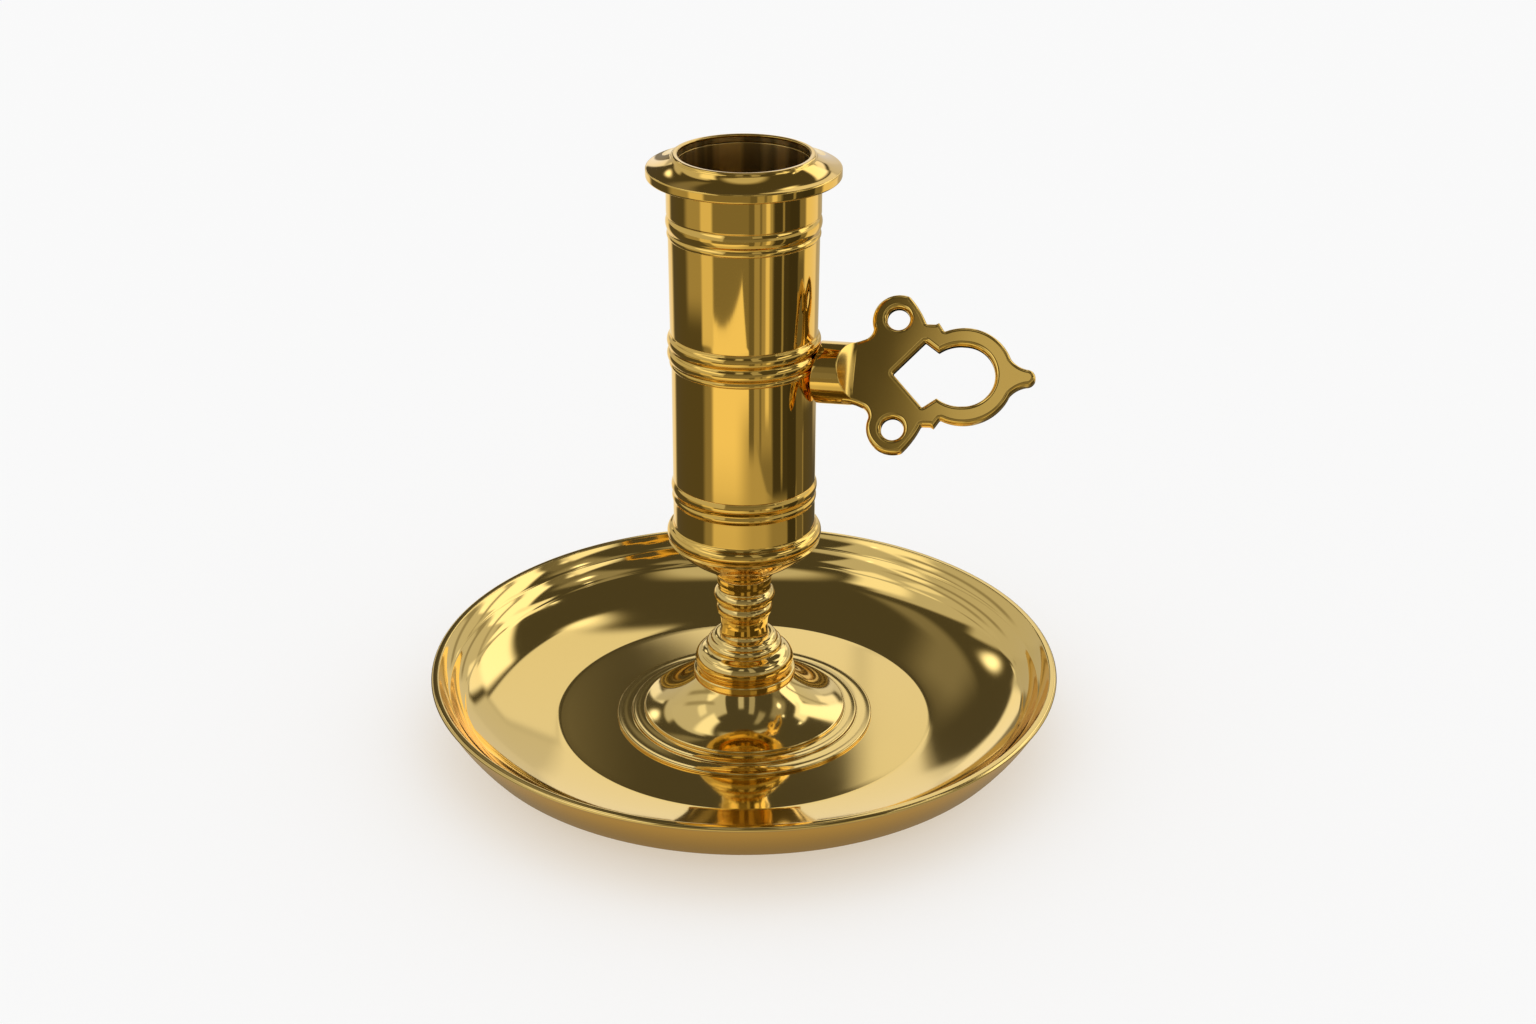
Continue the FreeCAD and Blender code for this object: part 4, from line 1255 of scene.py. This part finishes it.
    def surface(self, name: str, away: Points, height: Points) -> tuple[bpy.types.Object, Points]:
        """A surface round the axis: distance r, height z and bearing b go to (r * sin b, -r * cos b, z).

        Args:
            name: name of the object.
            away: distance of each row from the axis.
            height: height of each row.

        Returns:
            The object, and the bearings of its columns in degrees.
        """
        bearing = np.radians(np.arange(self.columns) * 360 / self.columns)
        points = np.stack([np.outer(away, np.sin(bearing)), -np.outer(away, np.cos(bearing)),
                           np.outer(height, np.ones(self.columns))], -1)
        faces = grid_faces(len(away), self.columns, rows_wrap=False)
        return mesh_of(name, points.reshape(-1, 3), [faces]), np.degrees(bearing)[None, :]

    def dome(self) -> bpy.types.Object:
        """The dome over the table: height h in degrees stands at reach * cos h out and reach * sin h up.

        Returns:
            The dome.
        """
        height = np.radians(np.linspace(*self.dome_heights, self.dome_rows))
        away, above = self.reach * np.cos(height), self.reach * np.sin(height)
        piece, bearing = self.surface("studio_dome", away, above)
        light = self.shade(self.dome_parts, self.room, bearing, np.degrees(height)[:, None])
        return self.lit(piece, light, self.daylight)

    def table_top(self) -> bpy.types.Object:
        """The table round the pan, just over the floor, with rows that stand wider apart further out.

        Returns:
            The table.
        """
        away = np.geomspace(*self.table_reach, self.table_rows)
        piece, bearing = self.surface("studio_table", away, np.full(len(away), self.table_lift))
        light = self.shade(self.table_parts, self.table, bearing, away[:, None])
        return self.lit(piece, light, self.tabletop)

    def lit(self, piece: bpy.types.Object, light: Points, tint: tuple[float, ...]) -> bpy.types.Object:
        """Give a mesh its brightness as a colour of its own, and let only reflections see it.

        Args:
            piece: the dome or the table.
            light: brightness of each corner.
            tint: colour of its bright parts.

        Returns:
            The same piece.
        """
        share = np.clip(light / self.bright_from, 0, 1).reshape(-1, 1)
        colour = np.ones((light.size, 4), np.float32)
        colour[:, :3] = light.reshape(-1, 1) * (np.array(self.dim) + (np.array(tint) - self.dim) * share)
        layer = piece.data.color_attributes.new("room_light", "FLOAT_COLOR", "POINT")
        layer.data.foreach_set("color", colour.ravel())
        material = bpy.data.materials.new(piece.name + "_light")
        material.use_nodes = True
        material.cycles.emission_sampling = "NONE"
        nodes, links = material.node_tree.nodes, material.node_tree.links
        nodes.clear()
        source = new_node(nodes, "Attribute")
        source.attribute_name = "room_light"
        glow = new_node(nodes, "Emission")
        out = new_node(nodes, "OutputMaterial")
        links.new(source.outputs["Color"], glow.inputs["Color"])
        links.new(glow.outputs["Emission"], out.inputs["Surface"])
        piece.data.materials.append(material)
        for sight in ("camera", "diffuse", "transmission", "volume_scatter", "shadow"):
            setattr(piece, "visible_" + sight, False)
        return piece

    def build(self) -> None:
        """Dome and table."""
        self.dome()
        self.table_top()


@dataclass
class Studio:
    """Floor, world, surroundings and camera."""

    floor_half: float = 6000.0
    paper: float = 0.95
    # Share of each channel of the floor's white that needs light; blue needs the most, so the floor's
    # shadows come out warm: a painted warm tint in the shade.
    shaded: tuple[float, float, float] = (0.42, 0.5, 0.6)
    lens: float = 53.34
    sensor: float = 36.0
    camera_away: float = 370.3
    camera_azimuth: float = 9.87
    camera_height: float = 216.0
    pitch: float = 24.99
    yaw: float = 0.66
    roll: float = 0.22

    def seen(self, nodes: bpy.types.Nodes, links: bpy.types.NodeLinks) -> bpy.types.NodeSocket:
        """1 where the camera, a reflection or a view through glass looks, else 0.

        Args:
            nodes: nodes of the material.
            links: links of the material.

        Returns:
            The socket that gives the number.
        """
        sight = new_node(nodes, "LightPath")
        seen = sight.outputs["Is Camera Ray"]
        for kind in ("Is Glossy Ray", "Is Transmission Ray"):
            both = new_node(nodes, "Math")
            both.operation = "MAXIMUM"
            links.new(seen, both.inputs[0])
            links.new(sight.outputs[kind], both.inputs[1])
            seen = both.outputs["Value"]
        return seen

    def floor(self) -> bpy.types.Object:
        """The pale floor: part of its white needs light and so shows shadows, the rest doesn't."""
        half = self.floor_half
        corners = np.array([[-half, -half, 0], [half, -half, 0], [half, half, 0], [-half, half, 0]], float)
        floor = mesh_of("studio_floor", corners, [np.array([[0, 1, 2, 3]])])
        material = bpy.data.materials.new("pale_floor")
        material.use_nodes = True
        nodes, links = material.node_tree.nodes, material.node_tree.links
        nodes.clear()
        # The lit part is bluer and the glowing part warmer, so where shadow falls the warm glow is left:
        # painted warm light in the floor's shadows.
        matt = new_node(nodes, "BsdfDiffuse", Color=(*[self.paper * share for share in self.shaded], 1))
        glow = new_node(nodes, "Emission", Color=(*[self.paper * (1 - share) for share in self.shaded], 1))
        links.new(self.seen(nodes, links), glow.inputs["Strength"])
        both = new_node(nodes, "AddShader")
        links.new(matt.outputs["BSDF"], both.inputs[0])
        links.new(glow.outputs["Emission"], both.inputs[1])
        out = new_node(nodes, "OutputMaterial")
        links.new(both.outputs["Shader"], out.inputs["Surface"])
        floor.data.materials.append(material)
        return floor

    def camera(self) -> bpy.types.Object:
        """The camera where the photograph was taken from."""
        azimuth, pitch = math.radians(self.camera_azimuth), math.radians(self.pitch)
        yaw, roll = math.radians(self.yaw), math.radians(self.roll)
        heading = azimuth - yaw
        right = Vector((math.cos(heading), math.sin(heading), 0))
        ahead = Vector((-math.sin(heading), math.cos(heading), 0))
        forward = ahead * math.cos(pitch) - Vector((0, 0, math.sin(pitch)))
        up = ahead * math.sin(pitch) + Vector((0, 0, math.cos(pitch)))
        rolled_right = right * math.cos(roll) + up * math.sin(roll)
        rolled_up = up * math.cos(roll) - right * math.sin(roll)
        data = bpy.data.cameras.new("studio_camera")
        data.lens = self.lens
        data.sensor_width = self.sensor
        data.clip_start, data.clip_end = 0.01, 50.0
        camera = bpy.data.objects.new("studio_camera", data)
        bpy.context.scene.collection.objects.link(camera)
        place = Vector((math.sin(azimuth), -math.cos(azimuth), 0)) * self.camera_away * MM
        place.z = self.camera_height * MM
        turn = Matrix((rolled_right, rolled_up, -forward)).transposed().to_4x4()
        camera.matrix_world = Matrix.Translation(place) @ turn
        bpy.context.scene.camera = camera
        return camera

    def world(self) -> None:
        """Pale surroundings that light the object evenly."""
        world = bpy.data.worlds.new("studio_world")
        world.use_nodes = True
        nodes = world.node_tree.nodes
        nodes["Background"].inputs["Color"].default_value = (1.0, 1.0, 1.0, 1)
        nodes["Background"].inputs["Strength"].default_value = 1.0
        bpy.context.scene.world = world

    def build(self) -> None:
        """Set up the whole studio."""
        self.floor()
        self.world()
        Surroundings().build()
        self.camera()


def main() -> None:
    """Build and dress every piece in order."""
    logging.basicConfig(level=logging.INFO, format="%(name)s: %(message)s")
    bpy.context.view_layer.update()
    bpy.context.scene.view_settings.view_transform = "Standard"
    finishes = Finishes()
    groups = (
        (DripPan(), Polish.SPUN),
        (Stem(), Polish.TURNED),
        (CandleSocket(), Polish.MIRROR),
        (FingerLoop(), Polish.CAST),
    )
    for group, polish in groups:
        for piece in group.build():
            finishes.dress(piece, polish)
            LOG.info("%s: %d faces, %s", piece.name, len(piece.data.polygons), polish.value)
    for node in ("tie_rod", "tie_nut", "tie_washer", "handle_screw"):
        finishes.dress(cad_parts[node], Polish.PLAIN)
        LOG.info("%s: as modelled, %s", node, Polish.PLAIN.value)
    Studio().build()


if __name__ == "__main__":
    main()
